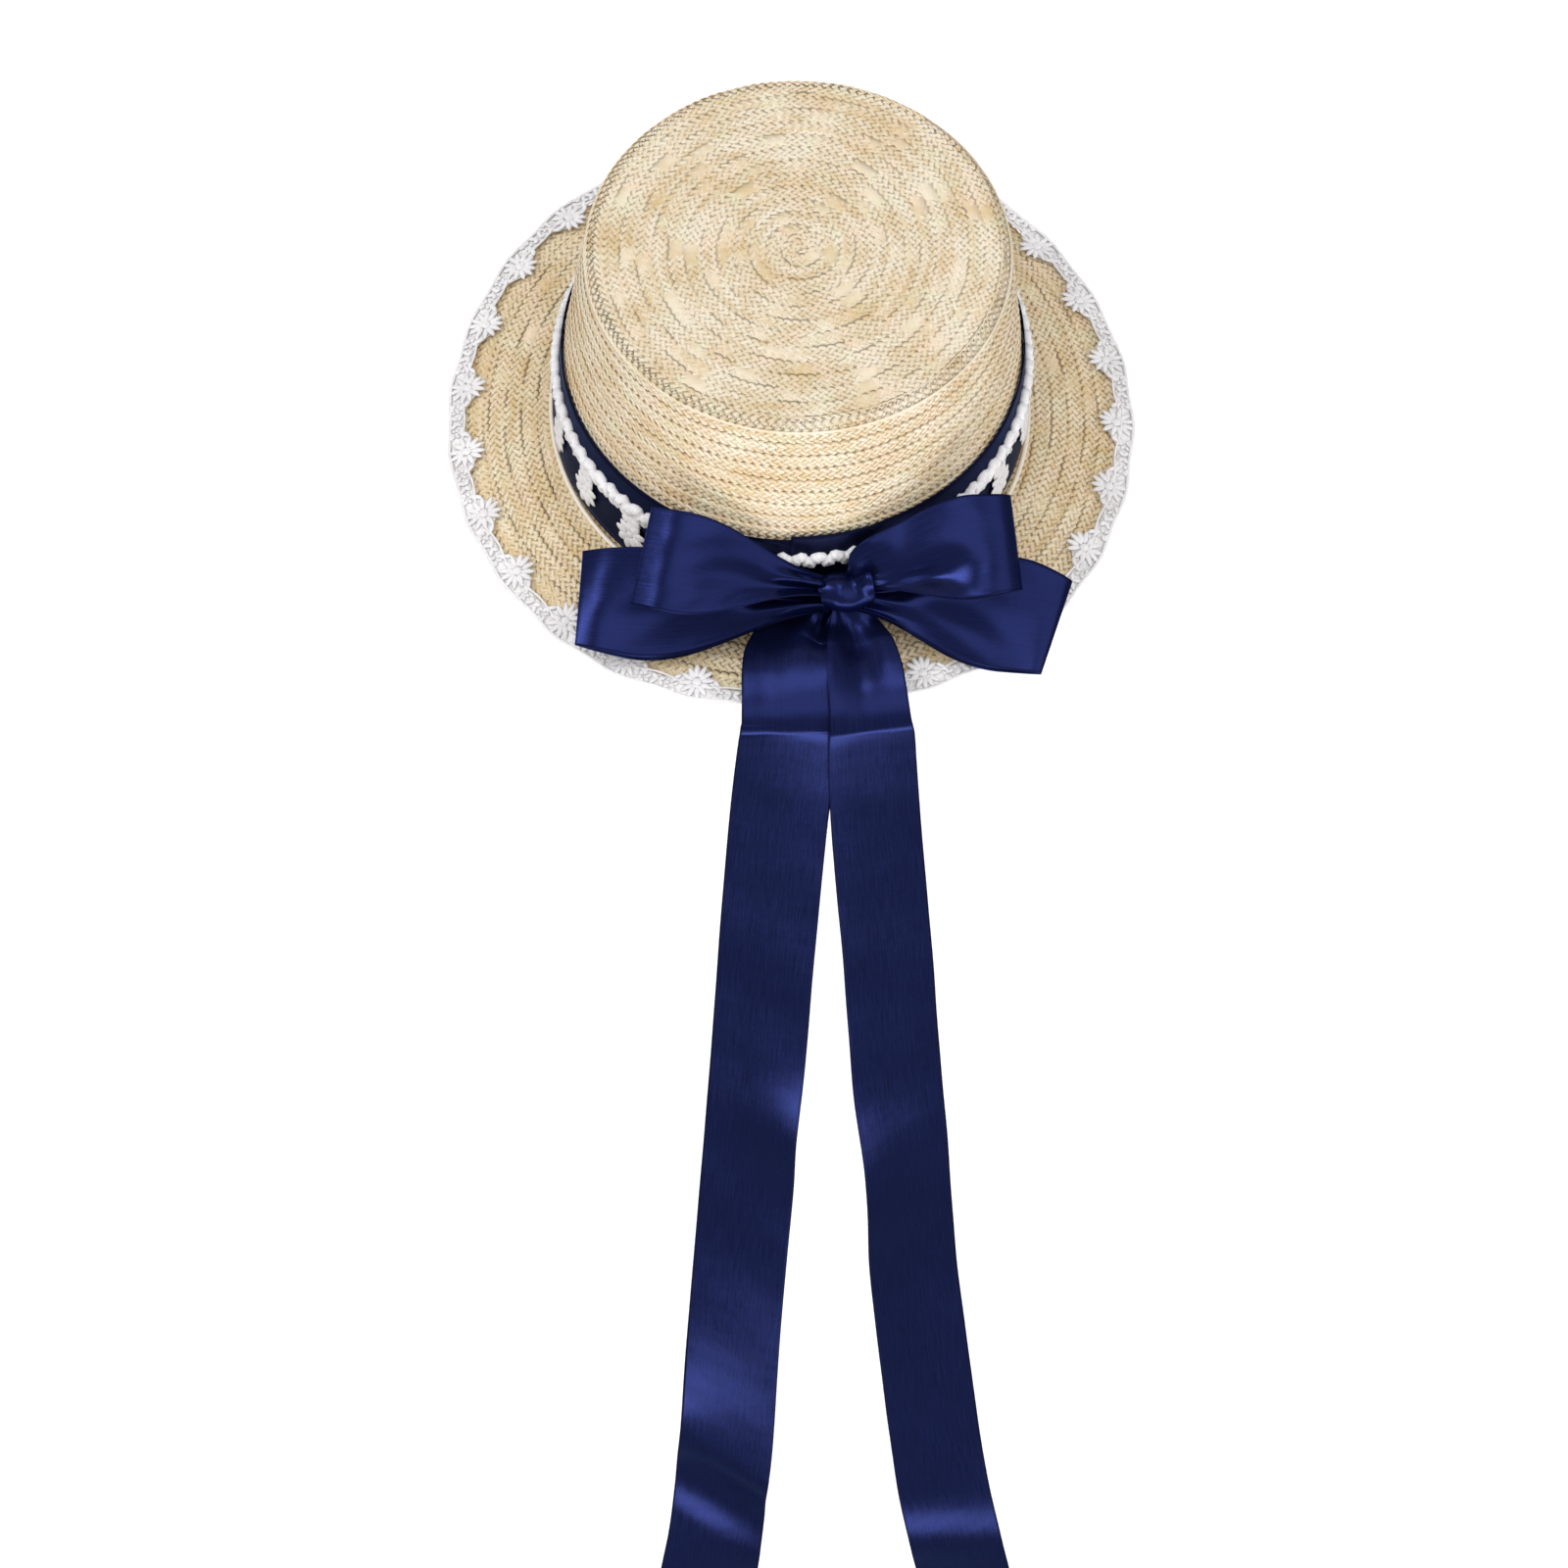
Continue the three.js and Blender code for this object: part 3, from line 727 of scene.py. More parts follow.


# Lace ground: white net, its small meshes painted darker than its threads: painted shade for holes that are
# not cut.
def laceNetMaterial():
    material, tree, shader = newMaterial("lace net", Specular_IOR_Level=0.2)
    coordinates = tree.nodes.new("ShaderNodeTexCoord")
    cells = tree.nodes.new("ShaderNodeTexVoronoi")
    cells.feature = "DISTANCE_TO_EDGE"
    cells.inputs["Scale"].default_value = 900
    tree.links.new(coordinates.outputs["Object"], cells.inputs["Vector"])
    stitched = noiseNode(tree, coordinates.outputs["Object"], 130, 3, 0.6)
    meshes = rangeNode(tree, cells.outputs["Distance"], 0.05, 0.22, 0, 1)
    shadedOpenings = mathNode(tree, "MULTIPLY", meshes, rangeNode(tree, stitched, 0.42, 0.58, 0, 1))
    # The openings' darker colour is painted shade.
    color = blendColors(tree, shadedOpenings, (0.83, 0.82, 0.82, 1), (0.62, 0.59, 0.58, 1))
    roughness = rangeNode(tree, meshes, 0, 1, 0.8, 0.95)
    dress(tree, shader, color, roughness, shadedOpenings, strength=0.6, depth=0.0003, sunken=True)
    return material


laceNet = laceNetMaterial()

bandTrim = dict(
    repeats=21,
    first=204.5,  # the first flower's angle, in degrees
    lift=1.75,  # middle of the thread, outside the crown's wall
    lobeRings=7,
    flower=(0, 12.9),  # its middle: along, and height
    petals=9,
    petalReach=(1.3, 7.8),  # from its middle
    petalSize=(4.6, 1.1),  # width and height
    button=dict(radius=1.9, height=1.0, lift=-0.2),
    vine=27.6,  # height of the zigzag cord that joins the flowers
    vineWave=1.9,
    vineSharp=0.96,  # of its turns: 1 would be sharp
    vineWidth=4.8,
    vineSteps=48,
    teeth=4,  # zigzags for each flower
    # A pair of leaves hangs from each zigzag, one to each side: x and y at the root, then at the tip.
    leaves=[(-0.2, 27.4, 2.9, 21.6), (-0.8, 27.0, -1.3, 21.2), (3.3, 23.2, 5.4, 26.0)],
    stem=[(-0.6, 18.6, -0.9, 24.2), (1.6, 18.4, 2.6, 23.0), (-2.6, 18.0, -3.6, 23.0)],
    leafSize=(5.2, 0.9),
    bowAt=-94,  # the lace is flattened to its cord under the bow's knot: the angle, and how far to each side
    bowHalf=11,
)
bandTrim["pitch"] = math.pi * (crown["levels"][0][1] + crown["levels"][0][2]) / bandTrim["repeats"]

brimTrim = dict(
    repeats=27,
    first=180.5,
    lift=2.1,  # middle of the thread, over the middle of the brim
    lobeRings=6,
    daisy=(0, -1.4),  # its middle: along, and outwards from the straw's edge
    petals=12,
    petalReach=(1.5, 7.3),
    petalSize=(2.3, 0.9),
    button=dict(radius=1.9, height=0.8, lift=-0.1),
    # Leaves beside a daisy; the other side has them the other way round.
    leaves=[(6.6, -3.0, 9.4, -0.6), (7.4, -0.6, 10.4, 0.4), (7.0, 3.4, 9.6, 4.4), (12.6, 3.9, 15.0, 1.0),
            (12.4, 0.2, 15.2, 1.4)],
    leafSize=(2.0, 0.9),
    edge=4.6,  # the outer cord
    edgeWave=0.5,
    edgeWidth=1.4,
    inner=-0.4,  # the inner cord
    innerWave=0.9,
    innerWidth=1.0,
    cordSteps=22,
    blossoms=((-9.6, 2.2), (9.6, 2.2)),  # small blossoms between the daisies
    blossomPetals=6,
    blossomReach=(0.7, 2.7),
    blossomSize=(1.6, 0.9),
    stripWidth=13,  # of the lace as it was bought, with its daisies
    # The net, outwards from the edge. narrow sets how narrow its reach under a daisy is.
    ground=dict(between=-0.6, flower=-6.2, narrow=1.6, outer=4.5, lift=-0.55, thickness=0.3, covers=0.6),
)
brimTrim["pitch"] = math.pi * (brim["width"] + brim["length"]) / brimTrim["repeats"]


# A lace's plan: x runs round the hat, y up the band or out over the brim, and lift away from the surface.
def onBandTrim(x, y, lift):
    angle = x / bandTrim["pitch"] * tau / bandTrim["repeats"] + math.radians(bandTrim["first"])
    return besideCrown(angle, y + bandClimb(angle), lift)


def onBrimTrim(x, y, lift):
    angle = x / brimTrim["pitch"] * tau / brimTrim["repeats"] + math.radians(brimTrim["first"])
    return lifted(onBrim, angle, brim["reach"] + y, lift)[0]


# Petals round a middle as straight runs: x and y at the root, then x and y at the tip.
def petalRuns(middle, reach, count):
    angle = tau * (np.arange(count) + 0.5) / count
    ring = np.stack([np.cos(angle), np.sin(angle)], -1)
    return np.concatenate([middle + reach[0] * ring, middle + reach[1] * ring], -1)


thread = dict(
    profile=np.array([(-0.5, 0), (-0.28, 0.5), (0.28, 0.5), (0.5, 0), (0.28, -0.4), (-0.28, -0.4)]),
    patternApart=37,  # every thread has its own place in the stitches' pattern
)


# Threads of a lace: profile carried along lines in its plan (along, outwards, lift), each (k, n).
def threads(place, x, y, lift, width, height, closed=False):
    x, y, lift, width, height = np.broadcast_arrays(x, y, lift, width, height)
    lines = place(x, y, lift)
    normals = unit(place(x, y, lift + 0.5) - lines)
    profile = thread["profile"]
    points, quads, triangles = carry(lines, normals, profile, width, height, closed)
    step = np.linalg.norm(np.diff(lines, axis=1), axis=-1).mean(1, keepdims=True)
    length = step * np.arange(x.shape[1]) + thread["patternApart"] * np.arange(len(x))[:, None]
    uv = uvOf(length, np.linspace(0, 1, len(profile)))
    return points, quads, triangles, uv, np.zeros(len(points))


lobe = dict(
    ends=(0.03, 0.97),  # the part of its run that it fills
    swell=0.55,
    early=0.85,  # under 1 it is thickest before its middle
    rise=0.12,
    uneven=0.2,
)


# Runs repeated round the hat, each a rounded lobe: its width and height go as a power of a sine along it.
def lobes(place, trim, runs, size, lift):
    width, height = size
    share = np.linspace(*lobe["ends"], trim["lobeRings"])
    swell = np.sin(math.pi * share ** lobe["early"]) ** lobe["swell"]
    repeats = trim["repeats"]
    shift = np.repeat(np.arange(repeats) * trim["pitch"], len(runs))
    runs = np.tile(runs, (repeats, 1)) + rng.normal(0, lobe["uneven"], (len(runs) * repeats, 4))
    runs = runs + shift[:, None] * (1, 0, 1, 0)
    if "bowAt" in trim:
        angle = (runs[:, 0] + runs[:, 2]) / 2 / trim["pitch"] * 360 / repeats + trim["first"]
        runs = runs[np.abs((angle - trim["bowAt"] + 180) % 360 - 180) > trim["bowHalf"]]
    x = mix(runs[:, 0, None], runs[:, 2, None], share)
    y = mix(runs[:, 1, None], runs[:, 3, None], share)
    return threads(place, x, y, lift + lobe["rise"] * height * swell, width * swell, height * swell)


# A raised button in the middle of each flower: rings that rise along the lace's normal.
def buttons(place, trim, middle, radius, height, lift):
    lift = trim["lift"] + lift
    share = np.linspace(0, 1, 5)
    swell = np.sqrt(np.clip(1.04 - share ** 2, 0, 1))
    x = middle[0] + np.arange(trim["repeats"])[:, None] * trim["pitch"] + 0 * share
    lines = place(x, middle[1] + 0 * x, lift + height * share + 0 * x)
    beside = unit(place(x + 0.5, middle[1] + 0 * x, lift + height * share + 0 * x) - lines)
    angle = -tau * np.arange(9) / 9
    profile = np.stack([np.cos(angle), np.sin(angle)], -1)
    size = radius * swell + 0 * x
    points, quads, triangles = carry(lines, beside, profile, size, size)
    uv = uvOf(share * radius, np.linspace(0, 2, len(profile)))
    return points, quads, triangles, np.tile(uv, (trim["repeats"], 1)), np.zeros(len(points))


cord = dict(
    knob=1.9,  # length of one of its small knobs
    swell=0.16,
    flatness=0.8,
)


# A cord all the way round, with small knobs: its width goes as 1 plus a sine of the distance along it.
def closedCord(place, trim, heightAt, width, perRepeat, lift):
    x = np.arange(trim["repeats"] * perRepeat)[None] * trim["pitch"] / perRepeat
    size = width * (1 + cord["swell"] * np.sin(tau * x / cord["knob"]))
    return threads(place, x, heightAt(x), lift, size, cord["flatness"] * size, True)


def laceOf(name, node, parts):
    points, quads, triangles, uv, tone = joined(parts)
    piece = addPiece(name, points, quads, triangles, uv, {"tone": tone}, laceThread)
    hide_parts(node)


def buildBandTrim():
    trim, lift, place = bandTrim, bandTrim["lift"], onBandTrim
    tooth = trim["pitch"] / trim["teeth"]

    def vineAt(x):  # a triangle wave with slightly rounded turns
        wave = np.arcsin(trim["vineSharp"] * np.sin(tau * x / tooth)) * 2 / math.pi
        return trim["vine"] + trim["vineWave"] * wave

    toothAt = tooth * (np.arange(trim["teeth"]) - (trim["teeth"] - 1) / 2)
    hanging = [leaf + toothAt[:, None] * (1, 0, 1, 0) for leaf in trim["leaves"]]
    petals = petalRuns(trim["flower"], trim["petalReach"], trim["petals"])
    laceOf("band_daisies", "band_lace", [
        lobes(place, trim, petals, trim["petalSize"], lift),
        buttons(place, trim, trim["flower"], **trim["button"]),
        lobes(place, trim, np.concatenate([*hanging, trim["stem"]]), trim["leafSize"], lift),
        closedCord(place, trim, vineAt, trim["vineWidth"], trim["vineSteps"], lift)])


def buildBrimTrim():
    trim, lift, place = brimTrim, brimTrim["lift"], onBrimTrim

    def beat(x):  # 1 at each daisy and -1 half way to the next
        return np.cos(tau * x / trim["pitch"])

    def edgeAt(x):
        return trim["edge"] + trim["edgeWave"] * beat(x)

    def innerAt(x):
        return trim["inner"] + trim["innerWave"] * beat(x)

    side = np.array(trim["leaves"])
    petals = petalRuns(trim["daisy"], trim["petalReach"], trim["petals"])
    parts = [
        lobes(place, trim, petals, trim["petalSize"], lift),
        buttons(place, trim, trim["daisy"], **trim["button"]),
        lobes(place, trim, np.concatenate([side, side * (-1, 1, -1, 1)]), trim["leafSize"], lift),
        closedCord(place, trim, edgeAt, trim["edgeWidth"], trim["cordSteps"], lift),
        closedCord(place, trim, innerAt, trim["innerWidth"], trim["cordSteps"], lift)]
    for middle in trim["blossoms"]:
        petals = petalRuns(middle, trim["blossomReach"], trim["blossomPetals"])
        parts.append(lobes(place, trim, petals, trim["blossomSize"], lift))
    laceOf("brim_daisies", "brim_lace", parts)

    # The ground: a strip of net whose inner edge reaches in under each daisy.
    ground = trim["ground"]
    x = np.linspace(0, trim["repeats"] * trim["pitch"], trim["repeats"] * 24 + 1)[:, None]
    share = np.linspace(0, 1, 7)
    inner = mix(ground["between"], ground["flower"], ((1 + beat(x)) / 2) ** ground["narrow"])
    y = mix(inner, ground["outer"] + trim["edgeWave"] * beat(x), share)
    sheet = onBrimTrim(x + 0 * y, y, lift + ground["lift"] + 0 * y)
    points, quads, uv = clothOf(sheet, ground["thickness"])
    piece = addPiece("brim_lace_net", points, quads, np.zeros((0, 3), int), uv, {}, laceNet)


# The bow. Its face leans back: X runs across it, up along its height and out away from the hat.
bow = dict(
    centre=np.array([6.3, -107.3, 23.6]),
    half=np.array([10, 8.5, 8]),  # of the knot: across, up and out
    up=np.array([0, 0.8, 0.6]),
    out=np.array([0, -0.6, 0.8]),
    rootWidth=8,
    rootDepth=1.7,
    inKnot=0.8,  # where loops and tails start, as a share of the way from the knot's middle to its skin
)
across = np.array([1.0, 0, 0])
bowFrame = np.stack([across, bow["up"], bow["out"]])


def onKnot(seat):  # a place in the knot, in shares of its half sizes
    return bow["centre"] + bow["inKnot"] * (seat * bow["half"]) @ bowFrame


# A loop runs from its seat out along its front layer, round the end fold, whose corners are top and foot, and
# back along its back layer. With r the share of the way out, s the share of the whole way round and v the
# place across, from -1/2 at its lower edge to 1/2 at its upper one:
# puff: the front stands out by puff sin(2 pi s) sqrt(r), and the back by press in the same way.
# arch: the whole loop bows by arch sin(pi r).
# bevel: near its end the front is pressed flat along a slope, down to the second number.
# swell (top, foot, power): its edges swell outwards, in the loop's plane, as sin(pi r^power).
# pleats (waves, phase, fade): waves run out from the knot and fade as a Gauss curve of r.
# gathering: the share of the ribbon's spare width that the pleats take up.
# valley (place across, drift, spread, depth, place along): a long dent in the front.
# lean: the upper edge leans out as lean v sin(pi r), from a little way off the knot.
# clear: how far the upper edge stands off the band beside the knot.
loops = dict(
    upper_left_loop=dict(
        node="loop_upper_left", seat=(-0.6, 0.45, 0.34), top=(-61.0, -80.3, 52.3), foot=(-72.2, -108.8, 29.7),
        puff=6, press=1.2, arch=3.4, bevel=(0.72, 0.2), swell=(0, 1, 1), pleats=(1.5, 0.6, 0.24),
        gathering=0.6, valley=(-0.1, 0, 0.22, 2.2, 0.45), lean=0, clear=1.5, seed=41),
    upper_right_loop=dict(
        node="loop_upper_right", seat=(0.84, 0.48, 0.26), top=(75.3, -86.5, 48.5), foot=(76.5, -117.9, 29.6),
        puff=9, press=1.2, arch=3.4, bevel=(2, 1), swell=(9, 0, 0.4), pleats=(1.5, 2.4, 0.24),
        gathering=0.2, valley=(-0.36, 0.34, 0.26, 5.4, 0.48), lean=0, clear=5.5, seed=42),
    lower_left_loop=dict(
        node="loop_lower_left", seat=(-0.6, -0.45, -0.36), top=(-87.7, -78.5, 25.1),
        foot=(-94.0, -110.7, 8.9),
        puff=5.5, press=1.2, arch=-0.6, bevel=(0.62, 0.2), swell=(0, 5, 1.3), pleats=(1.5, 4.0, 0.24),
        gathering=0.6, valley=(-0.5, 0, 0.3, 2, 0.5), lean=0.42, clear=0, seed=43),
    lower_right_loop=dict(
        node="loop_lower_right", seat=(0.84, -0.45, -0.3), top=(97.0, -108.3, 19.6), foot=(81.5, -139.8, 4.4),
        puff=4.5, press=1.2, arch=-0.8, bevel=(2, 1), swell=(5, 0, 1.4), pleats=(1.5, 1.2, 0.24),
        gathering=0.4, valley=(-0.1, 0, 0.2, 0.4, 0.55), lean=0.40, clear=0, seed=44),
)


loopShape = dict(  # what the four have in common, along the share of the way out
    crowding=0.06,  # rings crowd at the end fold, where the ribbon turns
    widening=1.25,  # it has its full width at 1 / widening of the way out
    soften=3,  # how softly the front passes into its pressed end, in square millimetres
    pleatDrift=1.2,  # radians by which the pleats shift on their way out
    pleatsBehind=0.3,  # share of the pleats that goes through to the back layer
    valleyLength=0.26,  # spread of the valley along the loop
    ripple=dict(height=0.5, length=42),
    clearAt=0.14,  # the place where the upper edge stands off the band most
    clearLength=0.16,
)


# The sheet lies at the line from the root to the end fold, plus the place across times the width, plus how
# far it is lifted out of its plane.
def buildLoop(name, loop):
    shape = loopShape
    root, top, foot = onKnot(loop["seat"]), np.array(loop["top"]), np.array(loop["foot"])
    end, endAcross = (top + foot) / 2, top - foot
    away = unit(root - bow["centre"])
    rootAcross = unit(bow["up"] - away * (bow["up"] @ away)) * bow["rootWidth"]
    outward = unit(np.cross(end - root, endAcross))
    outward = outward * np.sign(outward @ bow["out"])
    even = np.linspace(0, 1, 181)
    turn = tau * (even + shape["crowding"] * np.sin(2 * tau * even))[:, None]
    share = np.linspace(-0.5, 0.5, 37)
    reach = np.sin(turn / 2)
    inFront = np.sin(turn) > 0
    front = smooth(0.5 + 2 * np.sin(turn))

    # How far it lies out from its plane: the puffed layers, with the end of the front one pressed flat.
    side = np.where(inFront, loop["puff"], loop["press"])
    between = side * np.sin(turn) * np.sqrt(reach) + bow["rootDepth"] * np.cos(turn / 2)
    slope, curl = loop["bevel"]
    gap = between - slope * (1 - reach) * np.linalg.norm(end - root) - curl
    between = between - np.where(inFront, (gap + np.sqrt(gap * gap + shape["soften"])) / 2, 0)
    depth = between + loop["arch"] * np.sin(math.pi * reach)

    widened = smooth(shape["widening"] * reach)
    width = mix(bow["rootWidth"], ribbon["width"], widened)
    waves, phase, fade = loop["pleats"]
    spare = np.sqrt(np.maximum(ribbon["width"] ** 2 - width ** 2, 0)) / (4 * waves)
    pleating = np.cos(tau * waves * (share + 0.5) + phase + shape["pleatDrift"] * reach)
    pleats = loop["gathering"] * spare * pleating * np.exp(-(reach / fade) ** 2)
    pleats = pleats * mix(shape["pleatsBehind"], 1, front)

    middle, drift, spread, dent, at = loop["valley"]
    fromMiddle, fromAt = (share - middle - drift * reach) / spread, (reach - at) / shape["valleyLength"]
    valley = -dent * np.exp(-fromMiddle ** 2 - fromAt ** 2) * front
    rippling = wander(60 * share + 45 * reach + 30 * front, shape["ripple"]["length"], loop["seed"])
    ripple = shape["ripple"]["height"] * rippling * smooth(3 * (1 - reach)) * reach
    leaning = loop["lean"] * ribbon["width"] * share * np.sin(math.pi * reach) * smooth(1.5 * reach)
    beside = np.exp(-((reach - shape["clearAt"]) / shape["clearLength"]) ** 2)
    standOff = loop["clear"] * smooth(2 * share) * beside
    lift = depth + pleats + valley + leaning + standOff + ripple

    line = root + (end - root) * reach[..., None]
    swellTop, swellFoot, power = loop["swell"]
    swell = np.where(share > 0, swellTop, -swellFoot) * (2 * share) ** 2 * np.sin(math.pi * reach ** power)
    line = line + unit(endAcross) * swell[..., None]
    sheet = line + mix(rootAcross, endAcross, widened[..., None]) * share[:, None] + outward * lift[..., None]
    ribbonPiece(name, sheet, loop["node"], bowSatin)


knot = dict(
    ribbon=20,  # it is wrapped in a narrower ribbon
    width=19,
    shift=2.8,  # sideways from the middle
    up=7.0,
    out=7.4,
    start=200,  # degrees round from its top, where the wrap starts
    overlap=0.7,  # radians that the wrap goes over itself,
    loose=0.06,  # and how much further out it then lies, as a share
    pleats=1.4,
    pleatDepth=0.45,
    pleatDrift=1.1,
    taper=0.36,  # towards its sides,
    taperPower=2.6,
    waist=0.10,  # how much narrower it is behind than in front
    skew=1.5,
    curl=dict(size=0.95, at=62, spread=30, start=0.12),  # its right edge stands out like an eyelet here
    uneven=0.02,
)


# The knot is a ribbon wound round the loops' roots. At turn t and place x across it lies at
# r(x) (up cos t + out sin t), with r tapering to both sides. Its right edge flares as a Gauss curve of t.
def buildKnot():
    turn = np.linspace(0, tau + knot["overlap"], 141)[:, None] + math.radians(knot["start"])
    share = np.linspace(-0.5, 0.5, 45)
    wound = (turn - turn[0]) / tau
    taper = 1 - knot["taper"] * np.abs(2 * share) ** knot["taperPower"]
    pleating = np.cos(tau * knot["pleats"] * share + knot["pleatDrift"] * np.sin(turn + 0.6) + 0.5)
    curl = knot["curl"]
    fromCurl = (turn - math.radians(curl["at"]) + math.pi) % tau - math.pi
    flaring = smooth((share - curl["start"]) / (0.5 - curl["start"]))
    flare = curl["size"] * flaring * np.exp(-(fromCurl / math.radians(curl["spread"])) ** 2)
    uneven = knot["uneven"] * wander(30 * share + 4 * turn, 20, 51)
    radius = taper * (1 + knot["loose"] * wound) + flare + knot["pleatDepth"] * pleating / knot["up"] + uneven
    x = knot["width"] * share * (1 + knot["waist"] * np.sin(turn)) + knot["skew"] * np.sin(turn - 0.8)
    up, out = radius * knot["up"] * np.cos(turn), radius * knot["out"] * np.sin(turn)
    sheet = bow["centre"] + np.stack([x + knot["shift"], up, out], -1) @ bowFrame
    ribbonPiece("knot_wrap", sheet, "bow_knot", bowSatin)


# A tail's middle line runs from its seat in the knot (root gives its width, fold and turn there) through
# rows of x, y, z, width, fold and turn. fold is how deep a fold runs down it, and its place across and its
# spread stand apart. turn is how far it swings about its own length, in degrees. Near the knot the tail is
# gathered into waves (number, phase, and where across they are deepest), and gathering is the share of its
# spare width that they take up.
tails = dict(
    left_tail=dict(
        node="tail_left", seat=(-0.3, -0.35, -0.85), root=(14, 0.6, 0), gathers=(1.5, 0.4, 0.4),
        gathering=0.45, fold=(-0.22, 0.16), seed=61,
        rows=[(-3.0, -109.6, 11.8, 20, 1.2, 2), (-9.4, -115.6, 11.2, 29, 0.8, 3),
              (-13.0, -124.4, 11.0, 34.5, 0.5, 2), (-14.6, -133, 9.8, 35.5, 0.5, 1),
              (-15.2, -141, 7.0, 36.0, 0.5, 0), (-15.7, -147.0, 3.2, 36.4, 0.4, 0),
              (-16.0, -150.4, -0.6, 36.8, 0.4, 1), (-16.4, -151.6, -3.0, 37.3, 0.4, 2),
              (-16.6, -152.0, -6.0, 37.6, 0.4, 4), (-18.1, -152.5, -26, 38, 0.4, 8),
              (-20.4, -152.2, -60, 38, 0.4, 12), (-24.6, -151.2, -140, 38, 0.4, 16),
              (-29.6, -150.6, -246, 38, 0.4, 17), (-35.2, -149.0, -357, 38, 0.2, 14),
              (-41.4, -150.0, -472, 38, 0, 7), (-45.6, -153.0, -545, 38.6, 0, 12),
              (-49.8, -152.8, -585, 40, 0, 2), (-52.4, -152.6, -622, 41.5, 0, 0)],
        # Soft bulges: the height of the peak, how far it stands out and its spread above it (both at the left
        # and right edge), its spread below and across, where its middle lies across the ribbon, and how much
        # lower it lies at the right edge.
        bulges=[dict(at=-264, out=(7, 7), above=(26, 26), below=30, across=0.55, middle=0.6, slant=0),
                dict(at=-484, out=(11, 21), above=(32, 104), below=32, across=3, middle=0.1, slant=11),
                dict(at=-557, out=(5.4, 5.4), above=(18, 18), below=40, across=3, middle=0.2, slant=15)]),
    right_tail=dict(
        node="tail_right", seat=(0.35, -0.4, -0.6), root=(8, 1.2, 0), gathers=(1.5, 5.1, -0.2),
        gathering=0.12, fold=(-0.02, 0.22), seed=62,
        rows=[(11.8, -114.2, 13.4, 19, 2.8, -4), (13.6, -123.2, 13.4, 25.5, 4.4, -4),
              (14.4, -134, 12.0, 29, 2.8, -4), (14.6, -143, 8.8, 30, 1.4, -1),
              (14.7, -149.6, 4.4, 30.8, 1.0, 0), (14.8, -153.4, 0.2, 31.6, 0.8, 0),
              (14.9, -154.8, -2.4, 32.4, 0.6, -1), (15.0, -155.3, -6.0, 33.2, 0.6, -2),
              (15.4, -155.9, -26, 34.4, 0.6, -4), (16.8, -155.8, -60, 35.2, 0.5, -8),
              (21.8, -154.8, -146, 36.6, 0.4, -14), (27.2, -154.2, -255, 38, 0.4, -18),
              (33.6, -154.0, -368, 38, 0.4, -18), (42.8, -154.0, -485, 38, 0.4, -14),
              (49.0, -153.0, -550, 38, 0, -8), (59.5, -152.0, -624, 38, 0, 0)],
        bulges=[dict(at=-290, out=(6, 6), above=(36, 36), below=60, across=0.9, middle=-0.5, slant=0),
                dict(at=-578, out=(5, 3.6), above=(17, 17), below=24, across=3, middle=-0.3, slant=8)]),
)


# A smooth curve through rows of numbers at t from 0 to 1: cubic Hermite pieces whose knots stand apart as the
# square root of the distance between the rows' first three numbers.
def through(rows, t):
    steps = np.sqrt(np.linalg.norm(np.diff(rows[:, :3], axis=0), axis=1))
    knots = np.concatenate([[0], np.cumsum(steps)])
    slopes = np.gradient(rows, knots, axis=0)
    place = t * knots[-1]
    low = np.clip(np.searchsorted(knots, place, "right") - 1, 0, len(rows) - 2)
    step = steps[low][:, None]
    u = ((place - knots[low]) / steps[low])[:, None]
    return ((1 + 2 * u) * (1 - u) ** 2 * rows[low] + u * (1 - u) ** 2 * step * slopes[low]
            + u * u * (3 - 2 * u) * rows[low + 1] + u * u * (u - 1) * step * slopes[low + 1])


tailShape = dict(  # what the two have in common
    crowding=1.25,  # rows crowd near the knot
    gathersFrom=6,  # distance from the seat where the gathers start to fade,
    gathersFade=38,  # and the length over which they do
    shallow=0.25,  # of the gathers, away from the place where they are deepest,
    deepSpread=0.28,  # and the spread of that place
    ripple=dict(height=0.4, length=130),
)


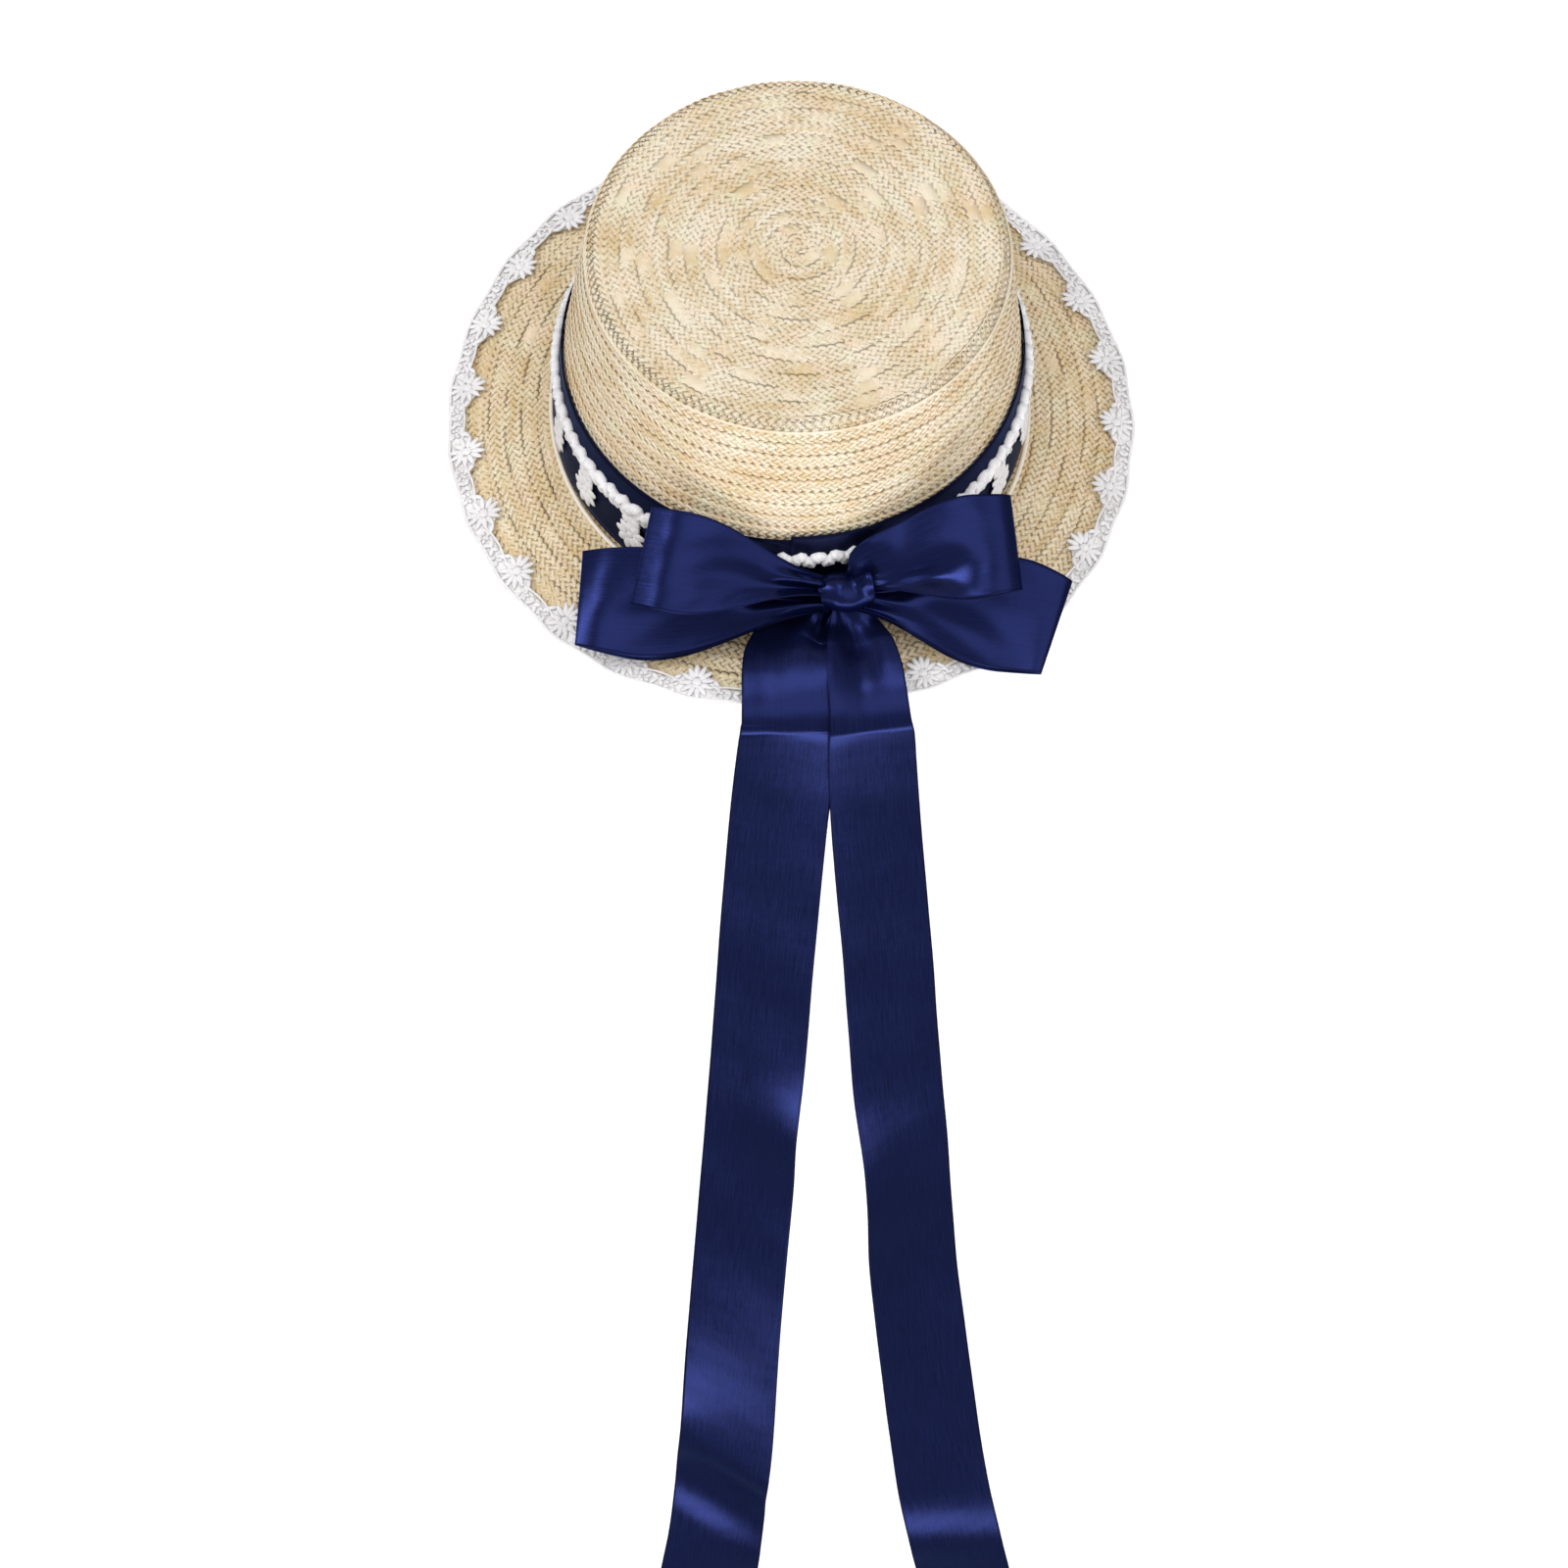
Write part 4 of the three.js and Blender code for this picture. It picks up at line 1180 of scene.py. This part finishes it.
# The sheet lies at the middle line, plus the place across times the width to the side, plus gathers, fold and
# bulges forward.
def buildTail(name, tail):
    shape = tailShape
    root = np.concatenate([onKnot(tail["seat"]), tail["root"]])
    rows = np.concatenate([root[None], np.array(tail["rows"], float)])
    line = through(rows, np.linspace(0, 1, 300) ** shape["crowding"])
    place, width, fold, turn = line[:, :3], line[:, 3:4], line[:, 4:5], np.radians(line[:, 5:6])
    heading = unit(np.gradient(place, axis=0))
    level = unit(across - heading * heading[:, :1])
    beside = level * np.cos(turn) + np.cross(heading, level) * np.sin(turn)
    forward = unit(np.cross(heading, beside))
    share = np.linspace(-0.5, 0.5, 33)
    height = place[:, 2:3]

    waves, phase, deepest = tail["gathers"]
    spare = np.sqrt(np.maximum(ribbon["width"] ** 2 - width ** 2, 0)) / (4 * waves)
    fromSeat = np.linalg.norm(place - place[0], axis=1)[:, None]
    near = smooth(1 - (fromSeat - shape["gathersFrom"]) / shape["gathersFade"])
    deep = mix(shape["shallow"], 1, np.exp(-((share - deepest) / shape["deepSpread"]) ** 2))
    gathers = near * tail["gathering"] * spare * deep * np.cos(tau * waves * share + phase)
    foldAt, foldSpread = tail["fold"]
    lift = gathers - fold * np.exp(-((share - foldAt) / foldSpread) ** 2)
    for bulge in tail["bulges"]:
        peak = bulge["at"] - bulge["slant"] * 2 * share
        spread = np.where(height > peak, mix(*bulge["above"], share + 0.5), bulge["below"])
        sideways = np.exp(-((share - bulge["middle"]) / bulge["across"]) ** 2)
        out = mix(*bulge["out"], share + 0.5)
        lift = lift + out * np.exp(-((height - peak) / spread) ** 2) * sideways
    rippling = wander(height + 30 * share, shape["ripple"]["length"], tail["seed"])
    lift = lift + shape["ripple"]["height"] * rippling * smooth(-height / 60)
    sheet = place[:, None] + (share * width)[..., None] * beside[:, None] + lift[..., None] * forward[:, None]
    ribbonPiece(name, sheet, tail["node"], bowSatin)


buildCrown()
buildBrim()
buildBand()
buildBandTrim()
buildBrimTrim()
buildKnot()
for name, loop in loops.items():
    buildLoop(name, loop)
for name, tail in tails.items():
    buildTail(name, tail)


def towards(azimuth, elevation):  # a direction: azimuth 0 is the front, and it grows to the right
    turn, rise = math.radians(azimuth), math.radians(elevation)
    level = math.cos(rise)
    return mathutils.Vector((math.sin(turn) * level, -math.cos(turn) * level, math.sin(rise)))


def aimed(name, data, back):  # a lamp or a camera that looks against the direction back
    thing = bpy.data.objects.new(name, data)
    thing.rotation_mode = "QUATERNION"
    thing.rotation_quaternion = back.to_track_quat("Z", "Y")
    bpy.context.scene.collection.objects.link(thing)
    return thing


studio = dict(
    floorDrop=2.0,  # metres from the tails' ends down to the floor
    floorHalf=30.0,
    floorSeen=0.95,
    floorMirrored=0.15,  # the satin would mirror a pale floor, so it is pale only where it is looked at
    sky=0.50,
    skySeen=1.0,
    # Azimuth, elevation, power and spread; all but the power are in degrees.
    suns=dict(left=(-92, 42, 1.1, 22), front=(-6, 56, 0.56, 38), right=(55, 28, 0.9, 60),
              top=(0, 90, 0.66, 27)),
    lowFront=dict(elevation=-27, power=200, width=7.0, height=1.35, aim=(0, -0.15, -0.35), distance=3.6),
)


# A plain pale floor well below the tails, four soft suns, a wide soft light low in front, and a pale sky.
def buildStudio():
    floorHeight = float(cadLow[2]) - studio["floorDrop"]
    half = studio["floorHalf"]
    corners = [(x * half, y * half, floorHeight) for x, y in ((-1, -1), (1, -1), (1, 1), (-1, 1))]
    mesh = bpy.data.meshes.new("floor")
    mesh.from_pydata(corners, [], [(0, 1, 2, 3)])
    floor = bpy.data.objects.new("floor", mesh)
    bpy.context.scene.collection.objects.link(floor)
    material, tree, shader = newMaterial("floor", Roughness=0.9, Specular_IOR_Level=0.1)
    path = tree.nodes.new("ShaderNodeLightPath")
    dark, pale = ((grey, grey, grey, 1) for grey in (studio["floorMirrored"], studio["floorSeen"]))
    color = blendColors(tree, path.outputs["Is Camera Ray"], dark, pale)
    tree.links.new(color, shader.inputs["Base Color"])
    mesh.materials.append(material)

    world = bpy.data.worlds.new("studio")
    bpy.context.scene.world = world
    world.use_nodes = True
    tree = world.node_tree
    path = tree.nodes.new("ShaderNodeLightPath")
    strength = rangeNode(tree, path.outputs["Is Camera Ray"], 0, 1, studio["sky"], studio["skySeen"])
    tree.nodes["Background"].inputs["Color"].default_value = (1, 1, 1, 1)
    tree.links.new(strength, tree.nodes["Background"].inputs["Strength"])

    for name, (azimuth, elevation, power, spread) in studio["suns"].items():
        data = bpy.data.lights.new(name, "SUN")
        data.energy = power
        data.angle = math.radians(spread)
        aimed(name, data, towards(azimuth, elevation)).visible_camera = False
    low = studio["lowFront"]
    data = bpy.data.lights.new("low front", "AREA")
    data.energy = low["power"]
    data.shape = "RECTANGLE"
    data.size, data.size_y = low["width"], low["height"]
    back = towards(0, low["elevation"])
    lamp = aimed("low front", data, back)
    lamp.visible_camera = False
    lamp.location = mathutils.Vector(low["aim"]) + back * low["distance"]


view = dict(
    azimuth=-6,
    elevation=54.163,
    place=(-0.3204, -3.0269, 3.9668),
    lens=296.06,
)


def buildCamera():
    data = bpy.data.cameras.new("camera")
    data.lens = view["lens"]
    data.sensor_width = 36
    data.clip_start, data.clip_end = 0.1, 100
    camera = aimed("camera", data, towards(view["azimuth"], view["elevation"]))
    camera.location = view["place"]
    bpy.context.scene.camera = camera


buildStudio()
buildCamera()
bpy.context.scene.view_settings.view_transform = "Standard"
